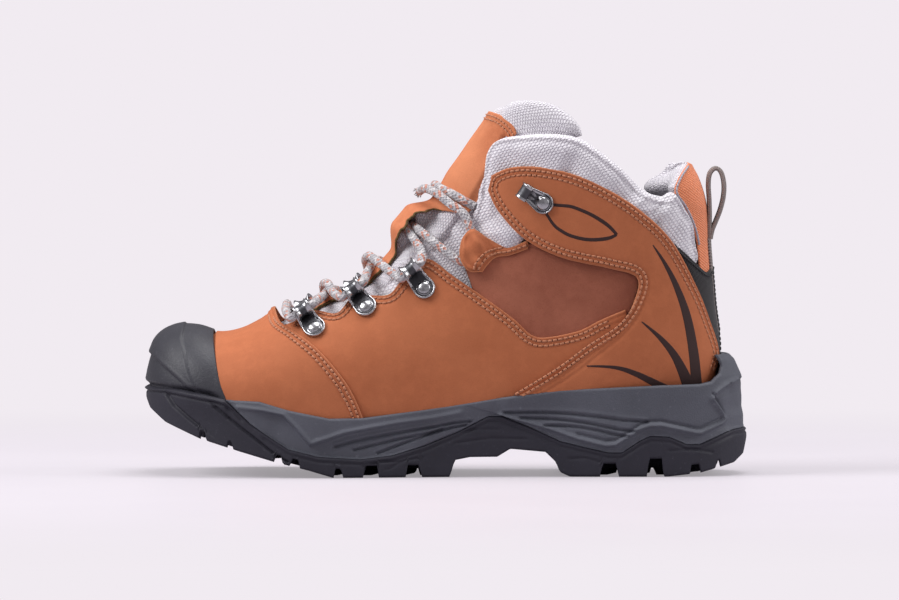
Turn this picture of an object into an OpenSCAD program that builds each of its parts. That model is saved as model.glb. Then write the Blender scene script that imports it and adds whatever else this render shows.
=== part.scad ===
// Mid-height leather hiking boot, left foot, as an assembly of its separate pieces.
// X runs from the toe (-) to the heel (+), Y from the outer side (-) to the inner side (+), Z is up.
// The origin is on the ground, at the centre of the footprint.

/* [Boot] */
// Length of the outsole, toe to heel
boot_length = 305; // [295:1:315]
// Thickness of one layer of leather
leather_t = 1.3; // [1.1:0.1:1.4]
// Thickness of the padding in the collar and tongue
padding_t = 6; // [4:0.5:6]
// Thickness of the rubber toe cap
toe_cap_t = 1.8; // [1.5:0.1:3]

/* [Sole] */
// Depth of the tread
lug_depth = 4.5; // [3:0.5:5]
// Thickness of the removable footbed
footbed_t = 4.5; // [3:0.5:6]
// Thickness of the insole board
board_t = 1.8; // [1.2:0.1:2.2]
// Width of the steel shank
shank_w = 16; // [12:1:20]

/* [Lacing] */
// Diameter of the lace
lace_d = 3.5; // [3:0.1:3.6]
// Radius of a rivet's shank
rivet_r = 1.5; // [1.2:0.1:1.8]
// Length of a lace loop, from its rivet to the middle of its eye
loop_length = 11; // [10:0.5:12]
// Width of the webbing in the heel pull
webbing_w = 16; // [12:1:20]

/* [Hidden] */

nominal_length = 305;
k = boot_length / nominal_length;
gap = 0.3;
lateral = -1;
medial = 1;

// Leather layers, outwards from the lasted surface: each is [inner face, outer face].
layer_0 = [0.2, 0.2 + leather_t];
layer_1 = [layer_0[1] + gap, layer_0[1] + gap + leather_t];
wide_gap = 0.7;
layer_2 = [layer_1[1] + wide_gap, layer_1[1] + wide_gap + leather_t];
layer_3 = [layer_2[1] + wide_gap, layer_2[1] + wide_gap + toe_cap_t];
lining_t = 1.2;
pad_layer = [-padding_t, layer_0[1]];
inner_lining = [-padding_t - 0.7 - lining_t, -padding_t - 0.7];
outer_lining = [-0.9 - lining_t, -0.9];

tan_leather = [0.72, 0.37, 0.2];
brown_suede = [0.45, 0.24, 0.15];
grey_mesh = [0.78, 0.77, 0.8];
dark_rubber = [0.11, 0.11, 0.13];
slate_foam = [0.24, 0.25, 0.28];
gunmetal = [0.45, 0.45, 0.47];

// ---------- The lasted surface ----------
// Each section is cut by a plane square to the side view. It runs from B, on the sole or up the
// back of the heel, to T, on the ridge of the toe, instep and throat.
// Columns: T x, T z, B x, B z, half width, centre y, height of the widest point as a share of BT,
// roundness above it and roundness below it.
SECTIONS = [
    [-144, 46, -144, 46, 0, 6, 0.4, 2.2, 2.4],
    [-142, 62, -142, 36, 16.5, 6, 0.4, 2.2, 2.4],
    [-136.5, 68.3, -136.5, 31, 28.6, 6, 0.4, 2.2, 2.6],
    [-127.5, 69, -127.5, 27, 37, 5.5, 0.38, 2.2, 3],
    [-115, 66.2, -115, 24, 42, 5, 0.36, 2.2, 3.5],
    [-102, 68.5, -102, 22, 45, 4, 0.34, 2.2, 4],
    [-88, 75.5, -88, 20, 46.5, 3, 0.33, 2.2, 4],
    [-74, 83, -74, 18, 47, 2, 0.33, 2.2, 4],
    [-62, 88.5, -57, 16, 46, 1, 0.34, 2.2, 4],
    [-51, 93.5, -37, 16, 44.5, 0, 0.36, 2.2, 4],
    [-40.5, 100, -15, 17, 42, -1, 0.38, 2.2, 4],
    [-31.5, 109, 11, 20, 39.5, -2, 0.4, 2.2, 4],
    [-23.5, 118.5, 41, 24, 37.5, -2, 0.42, 2.2, 4],
    [-15.5, 128, 73, 28, 36, -1, 0.45, 2.2, 4],
    [-8, 138, 104, 32, 35, 0, 0.48, 2.2, 4],
    [-1, 148, 128.5, 42, 34.5, 0, 0.5, 2.2, 3.3],
    [5.5, 158.5, 136, 60, 34.5, 0, 0.5, 2.2, 2.5],
    [11.5, 170, 133.5, 86, 35, 0, 0.5, 2.2, 2.3],
    [17, 181, 131.3, 113, 36, 0, 0.5, 2.2, 2.2],
    [22, 193, 129.3, 139, 37, 0, 0.5, 2.2, 2.2],
    [27, 206, 120.5, 162, 37, 0, 0.5, 2.2, 2.2]];
last_section = len(SECTIONS) - 1;

// Catmull-Rom value of a list of numbers or vectors at a fractional index
function spline(list, u) =
    let (n = len(list) - 1, i = min(max(floor(u), 0), n - 1), f = u - i,
        a = list[max(i - 1, 0)], b = list[i], c = list[i + 1], d = list[min(i + 2, n)])
    0.5 * (2 * b + (c - a) * f + (2 * a - 5 * b + 4 * c - d) * f * f + (3 * b - a - 3 * c + d) * f * f * f);

// n points spread evenly by index along a spline
function smooth(list, n) = [for (i = [0:n - 1]) spline(list, i * (len(list) - 1) / (n - 1))];

function unit(v) = v / norm(v);
function reversed(list) = [for (i = [len(list) - 1:-1:0]) list[i]];
function shifted(points, dx, dz) = [for (p = points) p + [dx, dz]];

// Point of the surface at section s. q runs round the section: 0 at the ridge, 0.5 at the widest
// point and 1 at B, negative on the outer side, and past 1 round the back to the outer side.
function lasted(s, q) =
    let (r = spline(SECTIONS, s), w = q > 1 ? q - 2 : q, a = abs(w), upper = a < 0.5,
        f = 180 * (upper ? a : 1 - a), n = upper ? r[7] : r[8],
        along = pow(max(cos(f), 0), 2 / n), out = pow(max(sin(f), 0), 2 / n),
        h = upper ? r[6] + (1 - r[6]) * along : r[6] * (1 - along))
    k * [r[2] + (r[0] - r[2]) * h, r[5] + sign(w) * r[4] * out, r[3] + (r[1] - r[3]) * h];

function normal(s, q) =
    unit(cross(lasted(s + 0.03, q) - lasted(s - 0.03, q), lasted(s, q + 0.004) - lasted(s, q - 0.004)));

function raised(s, q, t) = lasted(s, q) + t * normal(s, q);

// Section on which a side-view point lies, by halving
function section_at(x, z, low = 0, high = last_section, left = 22) =
    left == 0 ? (low + high) / 2 :
    let (mid = (low + high) / 2, r = spline(SECTIONS, mid),
        ahead = (r[0] - r[2]) * (z - r[3]) - (r[1] - r[3]) * (x - r[2]))
    ahead < 0 ? section_at(x, z, mid, high, left - 1) : section_at(x, z, low, mid, left - 1);

// q of a point at height h in section s, with q positive and kept off the back seam
function around(s, h) =
    let (r = spline(SECTIONS, s), m = r[6],
        q = h > m ? acos(min(pow((h - m) / (1 - m), r[7] / 2), 1)) / 180
            : 1 - acos(min(pow((m - h) / m, r[8] / 2), 1)) / 180)
    min(q, 0.975);

// [s, q] of the place that, raised by t, is seen at a side-view point
function place(p, t = 0, rounds = 4) =
    t != 0 && rounds > 0 ?
        let (w = place(p, t, rounds - 1), n = normal(w[0], w[1])) place(p - t * [n[0], n[2]]) :
    let (x = p[0] / k, z = p[1] / k, s = section_at(x, z), r = spline(SECTIONS, s), b = [r[2], r[3]],
        axis = [r[0], r[1]] - b)
    [s, around(s, ([x, z] - b) * axis / (axis * axis))];

// A line drawn in the side view on the face at offset t, as n places on one side of the boot
function edge(points, n, side = lateral, t = 0) =
    [for (p = smooth(points, n)) let (w = place(k * p, t)) [w[0], side * w[1]]];

// ---------- Builders ----------
function lerp(a, b, f) = a + (b - a) * f;

// Rows of places on straight lines between two edges, closer together towards the second by crowd
function ruled(from, to, across, crowd = 1) =
    [for (i = [0:len(from) - 1]) [for (j = [0:across]) lerp(from[i], to[i], 1 - pow(1 - j / across, crowd))]];

// The same rows with the first one drawn along a given line, and its neighbours following
function following(rows, line) = let (n = len(rows), m = len(rows[0]))
    [for (i = [0:n - 1]) [for (j = [0:m - 1])
        rows[i][j] + (line[j] - rows[0][j]) * pow(1 - i / (n - 1), 4)]];

// A sheet over rows of places, from offset t[0] to t[1], both raised by lift(along, across)
module sheet(rows, t, lift = function (i, j) 0) {
    n = len(rows);
    m = len(rows[0]);
    skin = function (offset) [for (i = [0:n - 1], j = [0:m - 1])
        raised(rows[i][j][0], rows[i][j][1], offset + lift(i / (n - 1), j / (m - 1)))];
    outer = skin(t[1]);
    grid = [for (i = [0:n - 2], j = [0:m - 2]) [i * m + j, (i + 1) * m + j, (i + 1) * m + j + 1, i * m + j + 1]];
    rim = concat([for (i = [0:n - 1]) i * m], [for (j = [1:m - 1]) (n - 1) * m + j],
        [for (i = [n - 2:-1:0]) i * m + m - 1], [for (j = [m - 2:-1:1]) j]);
    split = function (f) [[f[0], f[1], f[2]], [f[0], f[2], f[3]]];
    quads = concat(grid, [for (f = grid) [f[3], f[2], f[1], f[0]] + n * m * [1, 1, 1, 1]],
        [for (i = [0:len(rim) - 1]) let (a = rim[i], b = rim[(i + 1) % len(rim)]) [b, a, a + n * m, b + n * m]]);
    triangles = [for (f = quads) each split(f)];
    middle = rows[floor(n / 2)][floor(m / 2)];
    cell = grid[floor(n / 2) * (m - 1) - ceil((m - 1) / 2)];
    facing = cross(outer[cell[1]] - outer[cell[0]], outer[cell[3]] - outer[cell[0]]) * normal(middle[0], middle[1]);
    polyhedron(concat(skin(t[0]), outer), facing > 0 ? triangles : [for (f = triangles) reversed(f)]);
}

// A side-view outline stretched across the boot
module across_boot(outline, width = 130) {
    rotate([90, 0, 0]) linear_extrude(width, center = true) polygon(k * outline);
}

module in_plan(outline, height = 240) {
    translate([0, 0, -height / 4]) linear_extrude(height) polygon(outline);
}

// A round cord through a list of points
module cord(path, r, sides = 8) {
    n = len(path);
    heading = [for (i = [0:n - 1]) unit(path[min(i + 1, n - 1)] - path[max(i - 1, 0)])];
    start = unit(cross(heading[0], [0, 0.2, 1]));
    sideways = [for (i = 0, v = start; i < n; i = i + 1, v = i < n ? unit(v - (v * heading[i]) * heading[i]) : v) v];
    ring = [for (i = [0:n - 1], j = [0:sides - 1]) let (a = 360 * j / sides)
        path[i] + r * (cos(a) * sideways[i] + sin(a) * cross(heading[i], sideways[i]))];
    walls = [for (i = [0:n - 2], j = [0:sides - 1]) let (a = i * sides + j, b = i * sides + (j + 1) % sides)
        each [[a, b + sides, b], [a, a + sides, b + sides]]];
    caps = [[for (j = [0:sides - 1]) j], [for (j = [sides - 1:-1:0]) (n - 1) * sides + j]];
    polyhedron(ring, concat(walls, caps));
}

// ---------- Sole ----------
// Footprint, from the toe round the outer side to the heel and back along the inner side
FOOTPRINT = [[-152.5, 6], [-149, -14], [-136, -31], [-112, -44.5], [-82, -51.5], [-50, -51.5], [-18, -46],
    [12, -42], [46, -40.5], [82, -41], [114, -39.5], [137, -31], [149.5, -16], [152.5, 0], [149.5, 16],
    [137, 31], [114, 39], [82, 38.5], [46, 35], [12, 34], [-18, 39], [-50, 49], [-82, 55], [-112, 53],
    [-136, 42], [-149, 25]];
footprint = let (n = len(FOOTPRINT), loop = concat([FOOTPRINT[n - 1]], FOOTPRINT, [FOOTPRINT[0], FOOTPRINT[1]]))
    [for (i = [0:3 * n - 1]) k * spline(loop, 1 + i / 3)];

// Top of the sole, where the upper starts
FEATHER = [[-152.6, 44.6], [-139.6, 44.4], [-124.2, 42], [-111, 38.8], [-94.4, 37.2], [-79.2, 33.7],
    [-58.9, 29.7], [-41.2, 29.1], [-23.5, 30.7], [1.8, 34.2], [27.1, 38.3], [57.4, 42.3], [87.8, 44.8],
    [108, 45.8], [128, 46.3]];
HEEL_CUP = [[134, 47.5], [138.5, 52], [141, 57], [142.6, 61.5], [145.6, 58], [148.4, 50], [149.4, 40], [149, 30], [146.5, 24.2]];
// Line between the foam midsole and the rubber outsole, from the toe to the heel
BOUNDARY = [[-110.4, 38.3], [-105.5, 33.2], [-98.4, 26.6], [-91.8, 22.1], [-79.2, 14.1], [-64.3, 10.4],
    [-43, 9.1], [-27.1, 10.9], [-11.1, 15.7], [6.8, 23.1], [21.3, 30.3], [27.9, 30.3], [41, 25.4],
    [57.4, 17.7], [68.5, 15], [81.6, 12], [88.2, 12], [96.9, 17.7], [102.5, 20.4], [112.3, 19.9],
    [121.1, 16], [127.7, 16], [145.3, 23.2]];
// Underside of the tread, from the heel to the toe
TREAD = [[150.2, 23.6], [152.3, 18], [150.5, 10], [146, 6.2], [128, 1.6], [112, 0], [62, 0], [57, 2.3],
    [54.9, 7.4], [49.8, 12.4], [32.1, 14], [25.6, 10], [11.9, 9.9], [4.3, 8.4], [1.8, 0], [-57, 0],
    [-69.1, 3.6], [-86.8, 7.9], [-104.5, 13], [-124.7, 19], [-142.4, 26.6], [-150, 32.7], [-152.6, 38]];
// Tread slots across the boot: x of the middle, width and z of the ground there
SLOTS = [[-122, 3, 18], [-108, 3, 14], [-82, 4, 7], [-74, 4, 5], [-54, 4, 0], [-37, 7, 0], [-17, 6, 0],
    [82, 8, 0], [105, 7, 0], [125, 5, 1], [138, 3, 4]];

function feather_z(x) = lookup(x, FEATHER);

module outsole() {
    color(dark_rubber) difference() {
        intersection() {
            in_plan(footprint);
            across_boot(concat([for (p = FEATHER) if (p[0] < -111) p], shifted(BOUNDARY, 0, -0.2), TREAD));
        }
        for (slot = SLOTS) translate(k * [slot[0], 0, slot[2]])
            cube([k * slot[1], 200, 2 * lug_depth], center = true);
        // Channels that part the side lugs from the middle ones
        for (side = [-1, 1]) translate(k * [-30, 24 * side, 0]) cube([k * 78, 5, 2 * lug_depth], center = true);
        for (side = [-1, 1]) translate(k * [92, 17 * side, 0]) cube([k * 82, 5, 2 * lug_depth], center = true);
    }
}

// A band that follows the top of the sole between two heights above it
module sole_band(low, high, x0, x1) {
    line = concat([[x0, feather_z(x0)]], [for (p = FEATHER) if (p[0] > x0 && p[0] < x1) p], [[x1, feather_z(x1)]]);
    across_boot(concat(shifted(line, 0, low / k), reversed(shifted(line, 0, high / k))));
}

// q at which offsets t[0] and t[1] of section s are both above the sole's top by lift, by halving
function rim_q(s, t, lift = 0.4, low = 0.1, high = 0.995, left = 14) =
    left == 0 ? low :
    let (q = (low + high) / 2, clear = min([for (o = t) let (p = raised(s, q, o)) p[2] - k * feather_z(p[0] / k)]))
    clear > lift ? rim_q(s, t, lift, q, high, left - 1) : rim_q(s, t, lift, low, q, left - 1);

// Plan outline of the foot at a height above the sole, drawn in by inset from the lasted surface
function foot_outline(inset, height = 1.5, end = 15.24) =
    let (n = 34, side = [for (i = [0:n]) let (s = lerp(0.25, end, (1 - cos(180 * i / n)) / 2),
        p = raised(s, rim_q(s, [0], height), -inset)) [p[0], p[1] - k * spline(SECTIONS, s)[5], k * spline(SECTIONS, s)[5]]])
    concat([for (p = side) [p[0], p[2] + p[1]]], [for (p = reversed(side)) [p[0], p[2] - p[1]]]);

shank_ends = [-8, 88];

module midsole() {
    color(slate_foam) difference() {
        intersection() {
            in_plan(footprint);
            across_boot(concat([for (p = FEATHER) if (p[0] > -111) p], HEEL_CUP, reversed([for (p = BOUNDARY) if (p[0] < 140) p])));
        }
        intersection() {
            sole_band(-2, 3, shank_ends[0] - 0.3, shank_ends[1] + 0.3);
            cube([400, shank_w + 0.6, 200], center = true);
        }
        // The hollow that the heel of the upper sits in
        translate([0, 0, k * 46.6]) linear_extrude(40) polygon(foot_outline(-5.6, 12, 15.92));
    }
}

module shank() {
    color(gunmetal) intersection() {
        sole_band(-1.8, -0.3, shank_ends[0], shank_ends[1]);
        cube([400, shank_w, 200], center = true);
    }
}

module insole_board() {
    color("tan") intersection() {
        in_plan(foot_outline(4.6));
        sole_band(0.2, 0.2 + board_t, -142, 134);
    }
}

module footbed() {
    low = board_t + 0.5;
    color("dimgray") intersection() {
        in_plan(foot_outline(6.4));
        sole_band(low, low + footbed_t, -142, 134);
    }
}

// ---------- Upper ----------
TOE_CAP_REAR = [[-118.2, 80], [-116.4, 64.5], [-115, 55], [-113.2, 47], [-110.5, 40]];
VAMP_REAR = [[-87, 88], [-84.6, 79], [-76.2, 73.7], [-67.6, 67.6], [-61, 61.5], [-53.6, 52.9], [-48.3, 45.3], [-44.1, 37], [-41.4, 29.8]];
THROAT = [[-86, 74.5], [-74.5, 79], [-66, 83.5], [-55, 82.5], [-47.5, 90.5], [-38.7, 91.4], [-29.1, 91.8],
    [-23.5, 98], [-17, 106], [-8.9, 109.2]];
QUARTER_TOP = [[3.5, 100.5], [18, 90.6], [33.5, 79.2], [42.1, 71.4], [49.8, 69.8], [66.2, 73.2], [77.2, 78.6], [90, 84]];
ANKLE_FRONT = [[26.8, 39.6], [53.1, 55], [70.6, 67.6], [86, 78], [94, 90], [95.2, 100.5], [81, 105],
    [57.8, 110.2], [39.2, 119.5], [27, 133], [22.4, 143.9]];
ANKLE_REAR = [[135, 50], [137.6, 62], [133.4, 77], [126.3, 95.1], [113.5, 118.4], [98, 133.5], [81, 144.5],
    [64, 152], [46.2, 155.7], [32, 155.4], [24, 151.6]];
INSET_LOW = [[7, 93], [20, 82], [33, 72.5], [45, 63.5], [60, 64], [75, 71], [92, 80]];
INSET_TOP = [[4.6, 111], [12.5, 121.5], [20.5, 117.5], [31, 114], [42, 117.5], [58, 114], [75, 110], [89, 106], [98, 102]];
COLLAR_LOW = [[14.5, 121], [22, 115.5], [31, 112.5], [40, 117], [52, 130], [66, 132], [80, 128], [98, 116], [110, 104], [117, 93]];
COLLAR_TOP = [[12.5, 128], [17.2, 141.6], [20.6, 153.2], [27, 169], [40.4, 171.8], [57.8, 171.8],
    [69.4, 168.3], [85.7, 156.7], [99.4, 144], [109, 140.6], [115.3, 142.7], [120.5, 134.6], [125.2, 124.2], [127.5, 108]];
COLLAR_REAR = [[121.5, 154], [118, 148.5], [116.9, 144.4], [122.3, 136], [127, 125], [130, 112], [130.4, 99]];
HEEL_PANEL = [[121.6, 154.5], [117, 149.5], [115.3, 142.7], [120.5, 134.6], [125.2, 124.2], [127.5, 113.6], [128.5, 99]];
STRAP_TOP = [[113, 110], [120, 108.5], [126, 105], [131.5, 101.5]];
STRAP_LOW = [[127, 51.5], [129.5, 50.8], [131, 50.3], [132.2, 50]];

// Rows of places over the toe, from the tip back to a line on the side that meets the ridge
function over_toe(rear, t, start, n, m) = [for (i = [0:n]) [for (j = [0:m])
    let (u = 2 * j / m - 1, end = spline(rear, abs(u) * (len(rear) - 1)), f = pow(i / n, 1.3),
        s = lerp(start, end[0], f), rim = rim_q(s, t))
    [s, lerp(u * rim, sign(u) * min(end[1], rim), pow(f, 4))]]];

module toe_cap() {
    color(dark_rubber) sheet(over_toe(edge(TOE_CAP_REAR, 9, medial, layer_3[1]), layer_3, 0.05, 12, 24), layer_3);
}

module toe_puff() {
    rear = [for (j = [0:4]) [3.8, 0.2 * j]];
    t = [layer_0[0], layer_1[1]];
    color("ivory") sheet(over_toe(rear, t, 0.05, 10, 18), t);
}

module vamp() {
    color(tan_leather) sheet(over_toe(edge(VAMP_REAR, 13, medial, layer_2[1]), layer_2, 2.9, 14, 32), layer_2);
}

module vamp_lining() {
    rear = [for (j = [0:4]) [5.8, 0.2 * j]];
    color("gainsboro") sheet(over_toe(rear, outer_lining, 0.2, 12, 18), outer_lining);
}

function sole_line(x0, x1, n) = [for (i = [0:n]) let (x = lerp(x0, x1, i / n)) [x, feather_z(x) + 0.9]];

module quarter(side) {
    color(tan_leather) difference() {
        sheet(ruled(edge(sole_line(-49, 35, 17), 26, side),
            edge(concat(THROAT, QUARTER_TOP), 26, side, layer_1[1]), 12, 1.35), layer_1);
        for (i = [0:2]) at_loop(i, side) cylinder(h = 12, r = rivet_r + 0.15, center = true, $fn = 24);
    }
}

// The strip inside the lacing edge that takes the load of the rivets
module eyestay_backing(side) {
    rim = [[-72, 78], [-64, 80.3], [-55, 81], [-46, 87], [-38, 90], [-28, 91.4], [-22, 97], [-16, 101.5], [-9, 101.5]];
    inner = [[-66, 68], [-59, 70], [-51, 72.5], [-43, 76], [-35, 79], [-26, 82], [-18, 85.5], [-10, 88], [-3, 90]];
    color("darkgray") difference() {
        sheet(ruled(edge(inner, 12, side, 1), edge(rim, 12, side, 1), 4), [layer_0[0], layer_0[1] - 0.3]);
        for (i = [0:2]) at_loop(i, side) cylinder(h = 12, r = rivet_r + 0.15, center = true, $fn = 24);
    }
}

module suede_inset(side) {
    color(brown_suede) sheet(ruled(edge(INSET_LOW, 14, side, layer_0[1]), edge(INSET_TOP, 14, side, layer_0[1]), 8), layer_0);
}

// The folded corner of suede that the lace passes behind
TAB_LOW = [[13, 100], [20, 107], [27, 112.4]];
TAB_TOP = [[4.8, 111], [8, 116], [12.5, 121.3]];
tab_t = layer_1[1];
module lace_tab(side) {
    color(brown_suede) sheet(ruled(edge(TAB_LOW, 7, side, tab_t), edge(TAB_TOP, 7, side, tab_t), 8), layer_1,
        function (i, j) 5.8 * pow(sin(180 * j), 0.6));
}

module ankle_panel(side) {
    color(tan_leather) difference() {
        rows = ruled(edge(ANKLE_FRONT, 26, side, layer_2[1]), edge(ANKLE_REAR, 26, side, layer_2[1]), 14, 1.4);
        base = [for (p = rows[0]) [p[0], side * min(rim_q(p[0], layer_2), 0.9)]];
        sheet(following(rows, base), layer_2);
        at_hook(side) cylinder(h = 12, r = rivet_r + 0.15, center = true, $fn = 24);
    }
}

module collar_pad(side) {
    color(grey_mesh) sheet(ruled(edge(COLLAR_LOW, 22, side), edge(COLLAR_TOP, 22, side, 0.5), 8),
        [-padding_t, -0.2], function (i, j) 1.2 * sin(180 * j));
}

// The places of a line on the inner side, carried past the back seam to the outer side
function past_seam(places) = [for (p = places) [p[0], 2 - p[1]]];
function both_sides(line) = concat(line, [[line[len(line) - 1][0], 1]], reversed(past_seam(line)));

module collar_pad_rear() {
    rim = edge(COLLAR_REAR, 12, medial);
    color(grey_mesh) sheet(ruled(rim, past_seam(rim), 8), [-padding_t, -0.5]);
}

module heel_panel() {
    rim = edge(HEEL_PANEL, 12, medial, layer_0[1]);
    color("orangered") sheet(ruled(rim, past_seam(rim), 8), layer_0);
}

module back_strap() {
    top = both_sides(edge(STRAP_TOP, 9, medial));
    color("black") sheet(ruled(top, both_sides(edge(STRAP_LOW, 9, medial)), 8), layer_1);
}

module heel_counter() {
    low = both_sides(edge([[64, 43.9], [85, 45.6], [106, 46.7], [122, 47.4], [131, 49.5]], 8, medial));
    top = both_sides(edge([[70, 56], [88, 68], [106, 78], [120, 86], [131, 90]], 8, medial));
    color("ivory") sheet(ruled(low, top, 6), layer_0);
}

// Lining of one side: its top edge as places, from the throat along the collar to the back seam
LINING_TOP = [[6.3, 0.24], [8, 0.24], [10, 0.24], [12, 0.25], [14, 0.26], [16, 0.27], [17.4, 0.29]];
COLLAR_INSIDE = [[48, 166], [66, 162.5], [84, 151], [97, 140.5], [108, 136.5], [117, 139], [123, 141]];
module quarter_lining(side) {
    top = concat(LINING_TOP, edge(COLLAR_INSIDE, 7, medial), [[18.9, 0.975]]);
    low = concat([for (i = [0:14]) let (s = lerp(6.3, 14.7, i / 14)) [s, rim_q(s, outer_lining)]], [[15.2, 0.9], [15.35, 0.975]]);
    both = [for (line = [top, low]) [for (p = smooth(line, 22)) [p[0], side * p[1]]]];
    color("gainsboro") sheet(ruled(both[0], both[1], 10), inner_lining,
        function (i, j) (padding_t - 1.4) * max(0, 2 * j - 1));
}

// Webbing loop behind the heel: a closed strap seen from the side, webbing_w wide
PULL = [[133.6, 119], [133.6, 131], [132.8, 143], [133.4, 151.5], [136, 155.4], [139.4, 153.6], [141.2, 146],
    [140.8, 137], [139.2, 128], [136.8, 119.5]];
module pull_loop() {
    color("gray") translate([0, webbing_w / 2, 0]) rotate([90, 0, 0]) linear_extrude(webbing_w) difference() {
        polygon(k * smooth(concat(PULL, [PULL[0]]), 33));
        offset(delta = -1.3) polygon(k * smooth(concat(PULL, [PULL[0]]), 33));
    }
}

// ---------- Tongue ----------
tongue_foot = 6;
tongue_fold = 15.3;
tongue_tip = 18.3;
tongue_t = [-padding_t - 2, -1.2];
face_t = [-0.6, -0.6 + leather_t];

function tongue_rows(s0, s1, half, n, m = 8) = [for (i = [0:n]) [for (j = [0:m])
    let (u = 2 * j / m - 1) [lerp(s0, s1, i / n), u * half]]];

module tongue_lower() {
    color(grey_mesh) sheet(tongue_rows(tongue_foot, tongue_fold - 0.05, 0.205, 18), tongue_t);
}

// The top of the tongue widens above the collar and curls back with it
module tongue_upper() {
    rows = [for (i = [0:10]) [for (j = [0:10]) let (u = j / 5 - 1, f = i / 10, wide = max(0, f - 0.6) / 0.4)
        [lerp(tongue_fold + 0.05, tongue_tip + 0.9 * u * u, f), u * lerp(0.205, 0.31, wide)]]];
    color(grey_mesh) sheet(rows, tongue_t);
}

module tongue_face(s0, s1, half, n) {
    // It is sewn down at both ends and stands up in between, where the lace crosses under it
    keeper = function (s) 1 - min(1, max(0, abs(s - 12.75) - 0.4) / 1);
    color(tan_leather) sheet(tongue_rows(s0, s1, half, n, 6), face_t,
        function (i, j) (2 * lace_d + 0.9) * (1 - cos(180 * keeper(lerp(s0, s1, i)))) / 2);
}

// The thin web that joins the tongue's edge to the quarter
module gusset(side) {
    web = function (q) [for (i = [0:12]) [lerp(7.2, 12.6, i / 12), side * q]];
    color(grey_mesh) sheet(ruled(web(0.215), web(0.28), 3), [-2.4, -1.6]);
}

// ---------- Lacing ----------
// Side-view places of the three lace loops' rivets and eyes
LOOPS = [[[-66, 75.2], [-71.6, 82.3]], [[-40.2, 85.8], [-46.3, 93.4]], [[-11.4, 94.9], [-19.5, 104.5]]];
HOOK = [[48.5, 137.5], [38.1, 143.9]];
plate_t = 1;
eye_r = 3.1;
eye_wall = 0.8;
eye_z = gap + eye_r + eye_wall;

// Turns a frame's own axes to: x from the rivet towards the eye, z out of the leather
function hardware_frame(points, side, t) =
    let (a = place(k * points[0], t + gap + plate_t), b = place(k * points[1], t + eye_z), at = raised(a[0], side * a[1], t),
        out = normal(a[0], side * a[1]), to = lasted(b[0], side * b[1]) - at,
        u = unit(to - (to * out) * out), v = cross(out, u))
    [[u[0], v[0], out[0], at[0]], [u[1], v[1], out[1], at[1]], [u[2], v[2], out[2], at[2]], [0, 0, 0, 1]];

module at_loop(i, side) multmatrix(hardware_frame(LOOPS[i], side, layer_1[1])) children();
module at_hook(side) multmatrix(hardware_frame(HOOK, side, layer_2[1])) children();

// Plate with a rivet hole, narrowing from the rivet to the eye
module plate(length, wide, narrow) {
    linear_extrude(plate_t) difference() {
        union() {
            circle(r = wide, $fn = 48);
            polygon([[0, wide * 0.995], [length, narrow], [length, -narrow], [0, -wide * 0.995]]);
        }
        circle(r = rivet_r + 0.08, $fn = 48);
    }
}

module lace_loop(i, side) {
    color(gunmetal) at_loop(i, side) difference() {
        union() {
            translate([0, 0, gap]) plate(loop_length, 4.4, 3.2);
            translate([loop_length, 0, eye_z]) rotate([90, 0, 0])
                cylinder(h = 6.4, r = eye_r + eye_wall, center = true, $fn = 48);
        }
        translate([loop_length, 0, eye_z]) rotate([90, 0, 0]) cylinder(h = 20, r = eye_r, center = true, $fn = 48);
    }
}

module lace_hook(side) {
    reach = 9.5;
    color(gunmetal) at_hook(side) difference() {
        union() {
            translate([0, 0, gap]) plate(reach, 4.4, 2.6);
            translate([reach, 0, eye_z]) rotate([90, 0, 0])
                cylinder(h = 5.2, r = eye_r + eye_wall, center = true, $fn = 48);
        }
        translate([reach, 0, eye_z]) rotate([90, 0, 0]) cylinder(h = 20, r = eye_r, center = true, $fn = 48);
        // The mouth opens back towards the rivet, over the plate
        translate([reach - 10, -10, gap + plate_t + 0.01]) cube([10, 20, 2 * eye_r - 0.4]);
    }
}

// Domed rivet: the head stands on the plate, the shank goes through the leather to its washer
module rivet(depth) {
    head_z = gap + plate_t + 0.1;
    translate([0, 0, head_z]) intersection() {
        translate([0, 0, -2.6]) sphere(r = 4.1, $fn = 48);
        cylinder(h = 4, r = 3.3, $fn = 48);
    }
    translate([0, 0, -depth]) cylinder(h = depth + head_z + 0.5, r = rivet_r, $fn = 48);
}

module washer(depth) {
    translate([0, 0, -depth - 0.1]) difference() {
        cylinder(h = 0.6, r = 3.2, $fn = 32);
        translate([0, 0, -1]) cylinder(h = 3, r = rivet_r + 0.08, $fn = 48);
    }
}

loop_rivet_depth = layer_1[1] + 0.9;
hook_rivet_depth = leather_t + 1;

module loop_rivets() {
    color(gunmetal) for (side = [lateral, medial], i = [0:2]) at_loop(i, side) rivet(loop_rivet_depth);
}

module hook_rivets() {
    color(gunmetal) for (side = [lateral, medial]) at_hook(side) rivet(hook_rivet_depth);
}

module rivet_washers() {
    color(gunmetal) {
        for (side = [lateral, medial], i = [0:2]) at_loop(i, side) washer(loop_rivet_depth);
        for (side = [lateral, medial]) at_hook(side) washer(hook_rivet_depth);
    }
}

// Eye of loop i, moved along its bore by v
function eye_point(i, side, v) =
    let (m = hardware_frame(LOOPS[i], side, layer_1[1]), p = [loop_length, v, eye_z, 1])
    [m[0] * p, m[1] * p, m[2] * p];
// The way through an eye, from its front end to its rear end
function through(i, side) =
    let (line = [for (v = [-6.8, -3.4, 0, 3.4, 6.8]) eye_point(i, side, v)])
    line[0][0] < line[4][0] ? line : reversed(line);

lace_low = face_t[1] + 0.5 + lace_d / 2;
lace_high = lace_low + lace_d + 0.4;
lace_side = lace_low + 1.8;
function way(points, side) = [for (p = points) raised(p[0], side * p[1], p[2])];
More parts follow.
